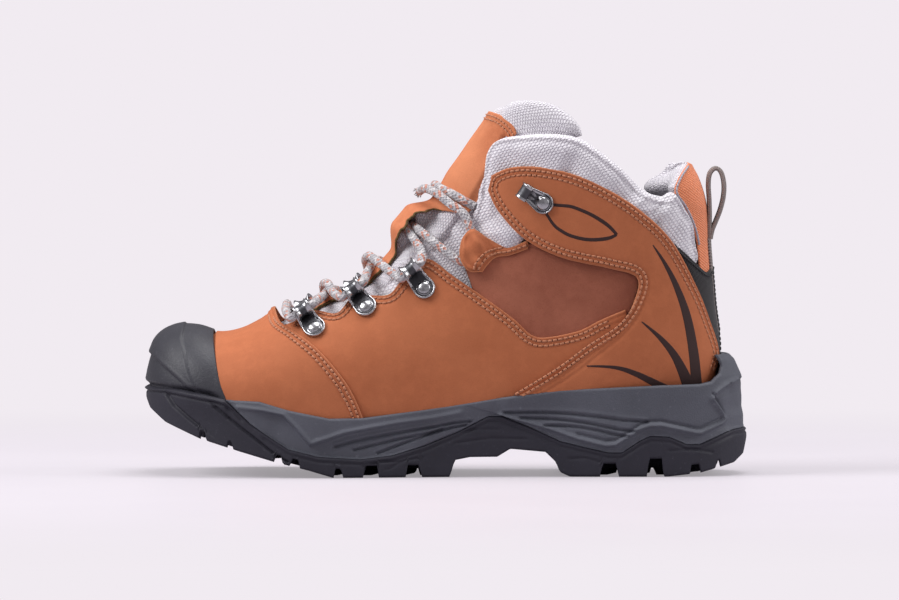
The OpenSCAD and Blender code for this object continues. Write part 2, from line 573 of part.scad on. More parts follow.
// The way behind a lace tab: halfway between its two edges
function behind_tab(side) = [for (i = [0:0.5:2])
    let (w = lerp(place(k * spline(TAB_LOW, i), tab_t), place(k * spline(TAB_TOP, i), tab_t), 0.5))
    raised(w[0], side * w[1], layer_0[1] + lace_d / 2 + 0.7)];

// Half of the lace: from eye 1 across to eye 2 and eye 3, then under the tongue's face to the far tab
function lace_half(side, low, high, under) = concat(
    through(0, side),
    way([[8.05, 0.12, lace_side], [8.16, 0.06, low], [8.28, 0, low], [8.42, -0.06, low], [8.55, -0.12, lace_side]], side),
    through(1, -side),
    way([[10.2, -0.12, lace_side], [10.38, -0.06, high], [10.55, 0, high], [10.72, 0.06, high], [10.9, 0.14, lace_side]], side),
    through(2, side),
    way([[12.42, 0.215, 4.5], [12.5, 0.14, 3], [12.6, 0.07, under], [12.7, 0, under], [12.8, -0.07, under],
        [12.87, -0.14, 3], [12.98, -0.225, 4.4], [13.1, -0.285, 4.6]], side),
    behind_tab(-side));

module lace() {
    keeper_low = tongue_t[1] + 0.3 + lace_d / 2;
    // One end is tucked in beside the collar, the other lies across the tongue
    inner_end = way([[14.5, 0.25, 4.4], [14.6, 0.12, lace_low + 0.4], [14.65, 0, lace_low + 0.1], [14.7, -0.09, lace_low],
        [14.82, -0.15, lace_low - 0.3], [14.9, -0.185, lace_low - 1.2]], medial);
    outer_end = way([[14.5, 0.24, 5], [14.48, 0.183, 6], [14.45, 0.119, 6.8], [14.3, 0.05, 7.2], [14.05, 0, 7.4]], lateral);
    path = concat(reversed(outer_end), reversed(lace_half(medial, lace_high, lace_low, keeper_low)),
        [raised(6.7, 0.14, 6.8), raised(6.68, 0, 5.6), raised(6.7, -0.14, 6.8)],
        lace_half(lateral, lace_low, lace_high, keeper_low + lace_d + 0.3), inner_end);
    color("silver") cord(smooth(path, 2 * len(path) - 1), lace_d / 2);
}

outsole();
midsole();
shank();
insole_board();
footbed();
toe_cap();
toe_puff();
heel_counter();
vamp();
vamp_lining();
quarter(lateral);  // quarter_lateral
quarter(medial);  // quarter_medial
eyestay_backing(lateral);  // eyestay_backing_lateral
eyestay_backing(medial);  // eyestay_backing_medial
suede_inset(lateral);  // suede_inset_lateral
suede_inset(medial);  // suede_inset_medial
lace_tab(lateral);  // lace_tab_lateral
lace_tab(medial);  // lace_tab_medial
ankle_panel(lateral);  // ankle_panel_lateral
ankle_panel(medial);  // ankle_panel_medial
collar_pad(lateral);  // collar_pad_lateral
collar_pad(medial);  // collar_pad_medial
collar_pad_rear();
quarter_lining(lateral);  // quarter_lining_lateral
quarter_lining(medial);  // quarter_lining_medial
heel_panel();
back_strap();
pull_loop();
tongue_lower();
tongue_upper();
tongue_face(7.2, tongue_fold - 0.05, 0.12, 16);  // tongue_face_lower
tongue_face(tongue_fold + 0.05, tongue_tip - 0.15, 0.13, 8);  // tongue_face_upper
gusset(lateral);  // gusset_lateral
gusset(medial);  // gusset_medial
lace();
lace_loop(0, lateral);  // lace_loop_lateral_1
lace_loop(1, lateral);  // lace_loop_lateral_2
lace_loop(2, lateral);  // lace_loop_lateral_3
lace_loop(0, medial);  // lace_loop_medial_1
lace_loop(1, medial);  // lace_loop_medial_2
lace_loop(2, medial);  // lace_loop_medial_3
lace_hook(lateral);  // lace_hook_lateral
lace_hook(medial);  // lace_hook_medial
loop_rivets();
hook_rivets();
rivet_washers();
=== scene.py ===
"""Mid-height leather hiking boot, left foot: the looks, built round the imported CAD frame."""
import math

import bpy
import bmesh
import numpy as np
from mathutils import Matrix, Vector


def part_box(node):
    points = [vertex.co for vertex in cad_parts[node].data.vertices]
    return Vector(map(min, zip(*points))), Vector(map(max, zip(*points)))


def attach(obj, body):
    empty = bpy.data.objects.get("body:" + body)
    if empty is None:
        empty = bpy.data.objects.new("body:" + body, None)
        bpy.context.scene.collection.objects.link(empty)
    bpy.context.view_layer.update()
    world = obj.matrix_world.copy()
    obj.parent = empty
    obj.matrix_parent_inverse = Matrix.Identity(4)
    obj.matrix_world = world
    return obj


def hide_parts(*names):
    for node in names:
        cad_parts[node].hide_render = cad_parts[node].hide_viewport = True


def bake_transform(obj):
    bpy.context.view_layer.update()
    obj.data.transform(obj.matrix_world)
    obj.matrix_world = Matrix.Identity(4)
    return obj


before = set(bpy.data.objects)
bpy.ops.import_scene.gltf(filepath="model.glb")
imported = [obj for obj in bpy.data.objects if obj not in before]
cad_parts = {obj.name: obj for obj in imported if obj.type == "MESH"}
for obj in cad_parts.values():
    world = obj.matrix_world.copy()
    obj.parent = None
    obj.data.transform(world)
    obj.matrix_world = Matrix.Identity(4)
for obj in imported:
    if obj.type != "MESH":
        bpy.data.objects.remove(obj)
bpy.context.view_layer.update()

MM, UV_PER_METRE = 0.001, 10
LATERAL, MEDIAL = -1, 1
_lo, _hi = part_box("outsole")
K = round((_hi.x - _lo.x) / MM / 304.8, 3)     # scale of the lasted surface
rng = np.random.default_rng(7)

# Layers, outwards from the lasted surface, in mm
LAYER_0, LAYER_1, LAYER_2, LAYER_3 = (0.2, 1.5), (1.8, 3.1), (3.8, 5.1), (5.8, 7.6)
INNER_LINING, OUTER_LINING = (-7.9, -6.7), (-2.1, -0.9)
TONGUE, FACE = (-8.0, -1.2), (-0.6, 0.7)

# Sections of the lasted surface: T x, T z, B x, B z, half width, centre y, height of the widest
# point, roundness above it and below it
SECTIONS = np.array([[-144, 46, -144, 46, 0, 6, 0.4, 2.2, 2.4],
                     [-142, 62, -142, 36, 16.5, 6, 0.4, 2.2, 2.4],
                     [-136.5, 68.3, -136.5, 31, 28.6, 6, 0.4, 2.2, 2.6],
                     [-127.5, 69, -127.5, 27, 37, 5.5, 0.38, 2.2, 3],
                     [-115, 66.2, -115, 24, 42, 5, 0.36, 2.2, 3.5],
                     [-102, 68.5, -102, 22, 45, 4, 0.34, 2.2, 4],
                     [-88, 75.5, -88, 20, 46.5, 3, 0.33, 2.2, 4], [-74, 83, -74, 18, 47, 2, 0.33, 2.2, 4],
                     [-62, 88.5, -57, 16, 46, 1, 0.34, 2.2, 4], [-51, 93.5, -37, 16, 44.5, 0, 0.36, 2.2, 4],
                     [-40.5, 100, -15, 17, 42, -1, 0.38, 2.2, 4],
                     [-31.5, 109, 11, 20, 39.5, -2, 0.4, 2.2, 4],
                     [-23.5, 118.5, 41, 24, 37.5, -2, 0.42, 2.2, 4],
                     [-15.5, 128, 73, 28, 36, -1, 0.45, 2.2, 4], [-8, 138, 104, 32, 35, 0, 0.48, 2.2, 4],
                     [-1, 148, 128.5, 42, 34.5, 0, 0.5, 2.2, 3.3],
                     [5.5, 158.5, 136, 60, 34.5, 0, 0.5, 2.2, 2.5],
                     [11.5, 170, 133.5, 86, 35, 0, 0.5, 2.2, 2.3],
                     [17, 181, 131.3, 113, 36, 0, 0.5, 2.2, 2.2],
                     [22, 193, 129.3, 139, 37, 0, 0.5, 2.2, 2.2],
                     [27, 206, 120.5, 162, 37, 0, 0.5, 2.2, 2.2]], float)

FEATHER = [[-152.6, 44.6], [-139.6, 44.4], [-124.2, 42], [-111, 38.8], [-94.4, 37.2], [-79.2, 33.7],
           [-58.9, 29.7], [-41.2, 29.1], [-23.5, 30.7], [1.8, 34.2], [27.1, 38.3], [57.4, 42.3],
           [87.8, 44.8], [108, 45.8], [128, 46.3]]
TOE_CAP_REAR = [[-118.2, 80], [-116.4, 64.5], [-115, 55], [-113.2, 47], [-110.5, 40], [-108.5, 34.5]]
VAMP_REAR = [[-87, 88], [-84.6, 79], [-76.2, 73.7], [-67.6, 67.6], [-61, 61.5], [-53.6, 52.9],
             [-48.3, 45.3], [-44.1, 37], [-41.4, 29.8]]
THROAT = [[-86, 74.5], [-74.5, 79], [-66, 83.5], [-55, 82.5], [-47.5, 90.5], [-38.7, 91.4], [-29.1, 91.8],
          [-23.5, 98], [-17, 106], [-8.9, 109.2]]
QUARTER_TOP = [[3.5, 100.5], [18, 90.6], [33.5, 79.2], [42.1, 71.4], [49.8, 69.8], [66.2, 73.2],
               [77.2, 78.6], [90, 84]]
ANKLE_FRONT = [[26.8, 39.6], [53.1, 55], [70.6, 67.6], [86, 78], [94, 90], [95.2, 100.5], [81, 105],
               [57.8, 110.2], [39.2, 119.5], [26.2, 133], [20.6, 143.9]]
ANKLE_REAR = [[135, 50], [137.6, 62], [133.4, 77], [126.3, 95.1], [113.5, 118.4], [98, 133.5], [81, 144.5],
              [64, 152], [46.2, 155.7], [32, 155.4], [22.4, 151.4]]
INSET_LOW = [[13.5, 92.5], [21, 82], [33, 72.5], [45, 63.5], [60, 64], [75, 71], [92, 80]]
INSET_TOP = [[7, 110], [13.5, 120.5], [20.5, 117.5], [31, 114], [42, 117.5], [58, 114], [75, 110],
             [89, 106], [98, 102]]
COLLAR_LOW = [[14.5, 121], [22, 115.5], [31, 112.5], [40, 117], [52, 130], [66, 132], [80, 128], [98, 116],
              [110, 104], [117, 93]]
COLLAR_TOP = [[12, 128], [15.2, 141.6], [18.2, 153.2], [24.8, 168.4], [40.4, 171.8], [57.8, 171.8],
              [69.4, 168.3], [85.7, 156.7], [99.4, 144], [109, 140.6], [115.3, 142.7], [120.5, 134.6],
              [125.2, 124.2], [127.5, 108]]
COLLAR_REAR = [[121.5, 154], [118, 148.5], [116.9, 144.4], [122.3, 136], [127, 125], [130, 112], [130.4, 99]]
HEEL_PANEL = [[121.6, 154.5], [117, 149.5], [115.3, 142.7], [120.5, 134.6], [125.2, 124.2], [127.5, 113.6],
              [128.5, 99]]
HEEL_TOP = [[122.8, 157.6], [117.6, 150.4]] + HEEL_PANEL[2:]
STRAP_TOP = [[113.5, 117.3], [119.5, 111.4], [125.2, 105.6], [129.4, 102.0], [132.2, 105.6]]
STRAP_LOW = [[127, 48.5], [129.5, 47.8], [131, 47.3], [132.2, 47]]
TAB_LOW = [[13, 100], [20, 107], [27, 112.4]]
TAB_TOP = [[4.8, 111], [8, 116], [12.5, 121.3]]
TAB_LOWER = [[13.4, 96.4], [17.0, 101.4], [20.8, 106.6], [25.0, 110.2], [32, 111.4], [41, 114.6]]
TAB_UPPER = [[3.4, 112.6], [7.6, 118.6], [13.6, 124.0], [21.5, 119.6], [31, 115.4], [41, 119.2]]
TONGUE_TIP = [[21.9, 184.2], [27.6, 186.0], [36.9, 188.2], [43.8, 188.4], [51.9, 186.6], [60.1, 182.0],
              [65.9, 176.2], [67.6, 171.3]]
FACE_TIP = [[21.7, 183.4], [27.6, 181.4], [33.4, 176.4], [35.2, 172.6]]
LINING_TOP = [[6.3, 0.24], [8, 0.24], [10, 0.24], [12, 0.25], [14, 0.26], [16, 0.27], [17.4, 0.29]]
COLLAR_INSIDE = [[48, 166], [66, 162.5], [84, 151], [97, 140.5], [108, 136.5], [117, 139], [123, 141]]
LOOPS = [[[-66, 75.2], [-71.6, 82.3]], [[-40.2, 85.8], [-46.3, 93.4]], [[-11.4, 94.9], [-19.5, 104.5]]]
HOOK = [[48.5, 137.5], [38.1, 143.9]]
# Loops and hooks: gap under the plate, its thickness, the eye's height, and the loop's length
GAP, PLATE_T, EYE_Z, LOOP_LENGTH = 0.3, 1.0, 4.2, 11.0


# ---------- The lasted surface ----------
def spline(table, u):
    """Catmull-Rom values of a table's rows at fractional indices."""
    table, u = np.asarray(table, float), np.asarray(u, float)
    n = len(table) - 1
    i = np.clip(np.floor(u).astype(int), 0, n - 1)
    f = (u - i)[..., None]
    a, b, c, d = table[np.maximum(i - 1, 0)], table[i], table[i + 1], table[np.minimum(i + 2, n)]
    square = (2 * a - 5 * b + 4 * c - d) * f ** 2
    cube = (3 * b - a - 3 * c + d) * f ** 3
    return 0.5 * (2 * b + (c - a) * f + square + cube)


def unit(v):
    return v / (np.linalg.norm(v, axis=-1, keepdims=True) + 1e-12)


def lasted(s, q):
    r = spline(SECTIONS, s)
    w = np.where(q > 1, q - 2, q)
    a = np.abs(w)
    upper = a < 0.5
    f = np.pi * np.where(upper, a, 1 - a)
    n = np.where(upper, r[..., 7], r[..., 8])
    along = np.maximum(np.cos(f), 0) ** (2 / n)
    out = np.maximum(np.sin(f), 0) ** (2 / n)
    h = np.where(upper, r[..., 6] + (1 - r[..., 6]) * along, r[..., 6] * (1 - along))
    return K * np.stack([r[..., 2] + (r[..., 0] - r[..., 2]) * h, r[..., 5] + np.sign(w) * r[..., 4] * out,
                         r[..., 3] + (r[..., 1] - r[..., 3]) * h], -1)


def normal(s, q):
    return unit(np.cross(lasted(s + 0.03, q) - lasted(s - 0.03, q),
                         lasted(s, q + 0.004) - lasted(s, q - 0.004)))


def raised(s, q, t):
    return lasted(s, q) + np.asarray(t, float)[..., None] * normal(s, q)


def flat_place(p):
    x, z = p[..., 0] / K, p[..., 1] / K
    low, high = np.zeros_like(x), np.full_like(x, len(SECTIONS) - 1)
    for _ in range(24):
        mid = (low + high) / 2
        r = spline(SECTIONS, mid)
        ahead = (r[..., 0] - r[..., 2]) * (z - r[..., 3]) - (r[..., 1] - r[..., 3]) * (x - r[..., 2])
        low, high = np.where(ahead < 0, mid, low), np.where(ahead < 0, high, mid)
    s = (low + high) / 2
    r = spline(SECTIONS, s)
    axis = r[..., 0:2] - r[..., 2:4]
    h = ((np.stack([x, z], -1) - r[..., 2:4]) * axis).sum(-1) / (axis ** 2).sum(-1)
    m = r[..., 6]
    up = np.arccos(np.clip(np.maximum(h - m, 0) / (1 - m), 0, 1) ** (r[..., 7] / 2)) / np.pi
    down = 1 - np.arccos(np.clip(np.maximum(m - h, 0) / m, 0, 1) ** (r[..., 8] / 2)) / np.pi
    return np.stack([s, np.minimum(np.where(h > m, up, down), 0.975)], -1)


def place(p, t=0.0):
    """[s, q] of the place that, raised by t, is seen at side-view points p."""
    p = np.asarray(p, float)
    w = flat_place(p)
    for _ in range(4 if t else 0):
        w = flat_place(p - t * normal(w[..., 0], w[..., 1])[..., [0, 2]])
    return w


def crowded(n):
    """n numbers from 0 to 1, closer together at both ends."""
    return (1 - np.cos(np.pi * np.arange(n) / (n - 1))) / 2


def edge(points, f, side=MEDIAL, t=0.0):
    """Places along a side-view line, at shares f of it."""
    w = place(K * spline(points, np.asarray(f) * (len(points) - 1)), t)
    w[:, 1] *= side
    return w


def rim_q(s, t, lift=-2.2):
    low, high = np.full(np.shape(s), 0.1), np.full(np.shape(s), 0.995)
    for _ in range(16):
        q = (low + high) / 2
        clear = np.min([(lambda p: p[..., 2] - K * follow(FEATHER, p[..., 0] / K))(raised(s, q, o))
                        for o in t], 0)
        low, high = np.where(clear > lift, q, low), np.where(clear > lift, high, q)
    return low


def ruled(a, b, f):
    f = np.asarray(f)[None, :, None]
    return a[:, None] * (1 - f) + b[:, None] * f


def past_seam(w):
    return np.stack([w[:, 0], 2 - w[:, 1]], -1)


def both_sides(line, f):
    whole = np.concatenate([line, [[line[-1, 0], 1]], past_seam(line)[::-1]])
    return spline(whole, np.asarray(f) * (len(whole) - 1))


def over_toe(outline, t, start, fi, fj, lift=-2.2):
    u = 2 * np.asarray(fj) - 1
    end = edge(outline, np.abs(u), MEDIAL, t[1])
    f = np.asarray(fi)[:, None]
    s = start + (end[None, :, 0] - start) * f
    rim = rim_q(s, t, lift)
    q = u * rim + (np.sign(u) * np.minimum(end[None, :, 1], rim) - u * rim) * f ** 4
    return np.stack([s, q], -1)


# ---------- Mesh making ----------
def grid_faces(n, m, start=0, close=False):
    i, j = np.meshgrid(np.arange(n - 1), np.arange(m if close else m - 1), indexing="ij")
    k = (j + 1) % m
    return np.stack([start + i * m + j, start + (i + 1) * m + j, start + (i + 1) * m + k, start + i * m + k],
                    -1).reshape(-1, 4)


def tube_faces(n, m):
    """Faces of n closed rings of m points, with a cap at each end."""
    sides = grid_faces(n, m, close=True).tolist()
    return sides + [list(range(m)), list(range((n - 1) * m, n * m))]


def two_skins(n, m):
    """The rim of an n by m grid, and the faces of a closed body from two such grids, outer one first."""
    last = (n - 1) * m
    rim = np.concatenate([np.arange(n) * m, last + np.arange(1, m), (np.arange(n - 1) * m + m - 1)[::-1],
                          np.arange(1, m - 1)[::-1]])
    following = np.roll(rim, -1)
    front = grid_faces(n, m)
    wall = np.stack([rim, following, following + n * m, rim + n * m], -1)
    return rim, np.concatenate([front, front[:, ::-1] + n * m, wall])


def make(name, verts, faces, mat, uv=None, rim=None, smooth=True):
    """A mesh object from points in mm."""
    mesh = bpy.data.meshes.new(name)
    mesh.from_pydata((np.asarray(verts) * MM).tolist(), [], [list(map(int, f)) for f in faces])
    bm = bmesh.new()
    bm.from_mesh(mesh)
    bmesh.ops.recalc_face_normals(bm, faces=bm.faces)
    bm.to_mesh(mesh)
    bm.free()
    if uv is not None:
        index = np.empty(len(mesh.loops), np.int32)
        mesh.loops.foreach_get("vertex_index", index)
        places = (np.asarray(uv)[index] * MM * UV_PER_METRE).ravel().astype(np.float32)
        mesh.uv_layers.new(name="mm").data.foreach_set("uv", places)
    if rim is not None:
        values = np.asarray(rim, np.float32).ravel()
        mesh.attributes.new("rim", "FLOAT", "POINT").data.foreach_set("value", values)
    mesh.polygons.foreach_set("use_smooth", [smooth] * len(mesh.polygons))
    mesh.materials.append(mat)
    obj = bpy.data.objects.new(name, mesh)
    bpy.context.scene.collection.objects.link(obj)
    return obj


def add(obj, body="boot", nodes=()):
    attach(obj, body)
    if nodes:
        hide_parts(*nodes)
    return obj


def distance(points, line):
    """Distance of each point from a polyline."""
    a, v = line[:-1], line[1:] - line[:-1]
    length = (v * v).sum(1) + 1e-12
    out = np.empty(len(points))
    for k in range(0, len(points), 1500):
        w = points[k:k + 1500, None, :] - a[None]
        t = np.clip((w * v).sum(2) / length, 0, 1)
        out[k:k + 1500] = np.sqrt(((w - t[..., None] * v) ** 2).sum(2).min(1))
    return out


class Patch:
    """A grid of places with its distances from each border, for shells and for things laid on it."""

    def __init__(self, rows):
        self.rows = rows
        self.n, self.m = rows.shape[:2]
        self.at = lasted(rows[..., 0], rows[..., 1])
        self.out = normal(rows[..., 0], rows[..., 1])
        lines = {"a": self.at[:, 0], "b": self.at[:, -1], "start": self.at[0], "end": self.at[-1]}
        flat = self.at.reshape(-1, 3)
        self.d = {k: distance(flat, v).reshape(self.n, self.m) for k, v in lines.items()}
        self.border = np.min([self.d[k] for k in self.d], 0)
        self.u = np.linspace(0, 1, self.n)[:, None] + np.zeros((1, self.m))
        self.v = np.linspace(0, 1, self.m)[None, :] + np.zeros((self.n, 1))

    def shell(self, name, t, mat, radius=None, bulge=0.0, inner_bulge=None, inner_push=0.0, side_uv=False,
              push=0.0):
        """A closed shell between offsets t, rounded off at its borders, pushed out by bulge."""
        mid, half = (t[0] + t[1]) / 2, (t[1] - t[0]) / 2
        radius = radius or half
        border = self.border
        profile = np.sqrt(1 - (1 - np.clip(border / radius, 0, 1)) ** 2)
        inner_bulge = bulge if inner_bulge is None else inner_bulge
        outer = self.at + (mid + half * profile + bulge)[..., None] * self.out + push
        inner = self.at + (mid - half * profile + inner_bulge)[..., None] * self.out + inner_push
        n, m = self.n, self.m
        edge_mask = np.ones((n, m), bool)
        edge_mask[1:-1, 1:-1] = False
        index = np.arange(n * m).reshape(n, m)
        inner_index = index.copy()
        inner_index[~edge_mask] = n * m + np.arange((~edge_mask).sum())
        front = grid_faces(n, m)
        back = inner_index.ravel()[front][:, ::-1]
        verts = np.concatenate([outer.reshape(-1, 3), inner[~edge_mask]])
        step_u = np.linalg.norm(np.diff(outer, axis=0), axis=-1)
        step_v = np.linalg.norm(np.diff(outer, axis=1), axis=-1)
        uu = np.concatenate([[0], np.cumsum(np.median(step_u, 1))])[:, None] + np.zeros((1, m))
        vv = np.concatenate([np.zeros((n, 1)), np.cumsum(step_v, 1)], 1)
        vv = vv - vv[:, -1:] / 2
        uv = outer[..., [0, 2]] if side_uv else np.stack([uu, vv], -1)
        uv = np.concatenate([uv.reshape(-1, 2), uv[~edge_mask]])
        rim = np.concatenate([border.ravel(), border[~edge_mask]])
        return make(name, verts, np.concatenate([front, back]), mat, uv, rim)


CLOTH_FRAMES = 20


def inflate(p, t, step=4.0, pressure=4.0, slack=0.06, cap=4.0):
    """Lets the outer skin of a padded patch settle as cloth under pressure, held at its borders.
"""
    spans = (np.median(np.linalg.norm(np.diff(p.at, axis=k), axis=-1).sum(k)) for k in (0, 1))
    n, m = (max(8, int(span / step)) for span in spans)
    rows, cols = (np.linspace(0, size - 1, k).round().astype(int) for size, k in ((p.n, n), (p.m, m)))
    pick = np.ix_(rows, cols)
    skins = [(p.at + depth * p.out)[pick].reshape(-1, 3) for depth in (t[1], t[0])]
    rim, faces = two_skins(n, m)
    pad = make("pad_cloth", np.concatenate(skins), faces, MESH)
    held = np.concatenate([rim, np.arange(n * m, 2 * n * m)]).tolist()
    pad.vertex_groups.new(name="held").add(held, 1.0, "REPLACE")
    settings = pad.modifiers.new("cloth", "CLOTH").settings
    settings.vertex_group_mass = "held"
    settings.use_pressure, settings.uniform_pressure_force = True, pressure
    settings.effector_weights.gravity = 0
    settings.shrink_min = -slack
    settings.quality = 6
    scene = bpy.context.scene
    for k in range(1, CLOTH_FRAMES + 1):
        scene.frame_set(k)
    settled = pad.evaluated_get(bpy.context.evaluated_depsgraph_get()).to_mesh()
    at = np.empty(len(settled.vertices) * 3, np.float32)
    settled.vertices.foreach_get("co", at)
    push = (at.reshape(-1, 3)[:n * m] / MM - skins[0]).reshape(n, m, 3)
    scene.frame_set(1)
    pad_mesh = pad.data
    bpy.data.objects.remove(pad)
    bpy.data.meshes.remove(pad_mesh)
    length = np.linalg.norm(push, axis=-1, keepdims=True)
    push = push * np.minimum(1, cap / (length + 1e-9))
    i, j = np.interp(np.arange(p.n), rows, np.arange(n)), np.interp(np.arange(p.m), cols, np.arange(m))
    push = along(push.reshape(n, -1), i).reshape(p.n, m, 3)
    return along(push.transpose(1, 0, 2).reshape(m, -1), j).reshape(p.m, p.n, 3).transpose(1, 0, 2)


def bell(d, at, width):
    return np.exp(-((d - at) / width) ** 2)


def follow(line, x):
    """The second coordinate of a line of points at x."""
    return np.interp(x, *np.array(line).T)


def ease(x):
    x = np.clip(x, 0, 1)
    return x * x * (3 - 2 * x)


# Distances of the double row of stitches from an edge
STITCH_ROWS = (2.0, 4.4)


def stitched(d, rows=STITCH_ROWS, depth=0.42):
    """Dips along rows of stitching at distances from an edge, and a soft roll of the edge itself."""
    return sum(-depth * bell(d, r, 0.75) for r in rows) + 0.3 * ease(d / 1.2)


# ---------- Stitching ----------
def inward(line, toward, d):
    """A line of places moved d mm along the surface towards another place."""
    line = line.copy()
    first = lasted(line[:, 0], line[:, 1])
    goal = lasted(*np.asarray(toward, float)) if np.ndim(toward) == 1 else lasted(toward[:, 0], toward[:, 1])
    sign = None
    steps = max(1, int(round(d)))
    for _ in range(steps):
        s, q = line.T
        at, n = lasted(s, q), normal(s, q)
        side = unit(np.cross(n, unit(np.gradient(at, axis=0))))
        if sign is None:
            sign = np.sign((side * (goal - at)).sum())
        e, g = 0.02, 0.003
        ps = (lasted(s + e, q) - lasted(s - e, q)) / (2 * e)
        pq = (lasted(s, q + g) - lasted(s, q - g)) / (2 * g)
        b = sign * side * d / steps
        a11, a12, a22 = (ps * ps).sum(1), (ps * pq).sum(1), (pq * pq).sum(1)
        b1, b2 = (b * ps).sum(1), (b * pq).sum(1)
        det = a11 * a22 - a12 ** 2
        line = line + np.stack([(b1 * a22 - b2 * a12) / det, (b2 * a11 - b1 * a12) / det], -1)
    keep = distance(lasted(line[:, 0], line[:, 1]), first) > 0.94 * d
    return line[keep]


def evenly(at, pitch):
    """Shares (fractional indices) spaced evenly by length along a polyline."""
    length = np.concatenate([[0], np.cumsum(np.linalg.norm(np.diff(at, axis=0), axis=1))])
    count = max(2, int(length[-1] / pitch))
    return np.interp(np.linspace(0, length[-1], count + 1), length, np.arange(len(at)))


def along(values, u):
    i = np.clip(np.floor(u).astype(int), 0, len(values) - 2)
    f = (u - i)[:, None]
    return values[i] * (1 - f) + values[i + 1] * f


def stamp(template, at, heading, out):
    """Copies of a template's points at places, its x along heading and its z outwards."""
    heading = unit(heading - (heading * out).sum(1, keepdims=True) * out)
    side = np.cross(out, heading)
    return (at[:, None] + template[None, :, 0:1] * heading[:, None] + template[None, :, 1:2] * side[:, None]
            + template[None, :, 2:3] * out[:, None])


def stitch_template(length, r):
    x = np.array([-1, -0.93, -0.7, 0, 0.7, 0.93, 1.0])
    size = np.array([0.1, 0.6, 0.95, 1.0, 0.95, 0.6, 0.1])
    a = np.arange(8) * np.pi / 4
    rings = [np.stack([np.full(8, x[i] * length / 2), r * size[i] * np.cos(a),
                       r * size[i] * np.sin(a) + 0.22 * (1 - x[i] ** 2) - 0.05], -1) for i in range(7)]
    faces = grid_faces(7, 8, close=True)
    return np.concatenate(rings), faces


class Stitching:
    """Rows of stitches gathered into one thread mesh and one mesh of dark discs that paint the shade in the
    needle holes.
    """

    def __init__(self):
        self.at, self.heading, self.out, self.holes, self.hole_out = [], [], [], [], []

    def row(self, line, offset, pitch=2.7):
        at = raised(line[:, 0], line[:, 1], np.full(len(line), offset))
        out = normal(line[:, 0], line[:, 1])
        self.points(at, out, pitch)

    def points(self, at, out, pitch=2.7):
        u = evenly(at, pitch)
        ends, normals = along(at, u), unit(along(out, u))
        self.at.append((ends[1:] + ends[:-1]) / 2)
        self.heading.append(ends[1:] - ends[:-1])
        self.out.append(unit(normals[1:] + normals[:-1]))
        self.holes.append(ends)
        self.hole_out.append(normals)

    def build(self, name, thread, hole_shade, pitch=2.7, r=0.56):
        at, out = np.concatenate(self.at), np.concatenate(self.out)
        template, faces = stitch_template(pitch * 0.86, r)
        verts = stamp(template, at, np.concatenate(self.heading), out)
        count = len(template)
        whole = (faces[None] + (np.arange(len(at)) * count)[:, None, None]).reshape(-1, 4)
        threads = make(name + "_thread", verts.reshape(-1, 3), whole, thread)
        # Small dark discs sunk at the needle holes: painted shade
        holes, hole_out = np.concatenate(self.holes), np.concatenate(self.hole_out)
        a = np.arange(8) * np.pi / 4
        disc = np.concatenate([np.stack([k * np.cos(a), k * np.sin(a), np.full(8, z)], -1)
                               for k, z in ((0.4, -0.3), (0.38, -0.06), (0.2, -0.04), (0.02, -0.04))])
        verts = stamp(disc, holes, np.cross(hole_out, [0.3, 0.4, 0.8]), hole_out)
        faces = grid_faces(4, 8, close=True)
        whole = (faces[None] + (np.arange(len(holes)) * len(disc))[:, None, None]).reshape(-1, 4)
        return threads, make(name + "_hole_shade", verts.reshape(-1, 3), whole, hole_shade)


# ---------- Materials ----------
def srgb(r, g, b):
    return tuple((c / 12.92 if c <= 0.04045 else ((c + 0.055) / 1.055) ** 2.4)
                 for c in (r / 255, g / 255, b / 255)) + (1,)


def tone(colour, k):
    """A colour made darker or lighter."""
    return tuple(min(1, c * k) for c in colour[:3]) + (1,)


class Graph:
    """Short ways to build a material from nodes."""

    def __init__(self, name):
        self.mat = bpy.data.materials.new(name)
        self.mat.use_nodes = True
        self.tree = self.mat.node_tree
        self.shader = self.tree.nodes["Principled BSDF"]

    def node(self, kind, output=0, attrs=None, **inputs):
        n = self.tree.nodes.new("ShaderNode" + kind)
        for k, v in (attrs or {}).items():
            setattr(n, k, v)
        for k, v in inputs.items():
            self.put(n.inputs[int(k[1:]) if k[0] == "i" and k[1:].isdigit() else k.replace("_", " ")], v)
        return n.outputs[output]

    def put(self, socket, value):
        if isinstance(value, bpy.types.NodeSocket):
            self.tree.links.new(value, socket)
        else:
            socket.default_value = value

    def set(self, **inputs):
        for k, v in inputs.items():
            self.put(self.shader.inputs[k.replace("_", " ")], v)
        return self.mat

    def coords(self, uv=False):
        return self.node("TexCoord", output="UV" if uv else "Object")

    def noise(self, vector, scale, detail=3.0, rough=0.55, distort=0.0):
        return self.node("TexNoise", Vector=vector, Scale=scale, Detail=detail, Roughness=rough,
                         Distortion=distort)

    def math(self, op, a, b=0.0, c=0.0):
        return self.node("Math", attrs={"operation": op}, i0=a, i1=b, i2=c)

    def times(self, a, b):
        return self.math("MULTIPLY", a, b)

    def plus(self, a, b):
        return self.math("ADD", a, b)

    def minus(self, a, b):
        return self.math("SUBTRACT", a, b)

    def spread(self, value, low, high):
        return self.node("MapRange", Value=value, To_Min=low, To_Max=high)

    def mix(self, fac, a, b):
        return self.node("Mix", output=2, attrs={"data_type": "RGBA"}, i0=fac, i6=a, i7=b)

    def ramp(self, fac, low, high):
        return self.node("MapRange", attrs={"interpolation_type": "SMOOTHSTEP"}, Value=fac, From_Min=low,
                         From_Max=high)

    def bump(self, height, distance, strength=1.0, below=None):
        n = self.tree.nodes.new("ShaderNodeBump")
        n.inputs["Strength"].default_value = strength
        n.inputs["Distance"].default_value = distance * MM
        self.put(n.inputs["Height"], height)
        if below is not None:
            self.put(n.inputs["Normal"], below)
        return n.outputs[0]

    def rim(self):
        return self.node("Attribute", output="Fac", attrs={"attribute_name": "rim"})


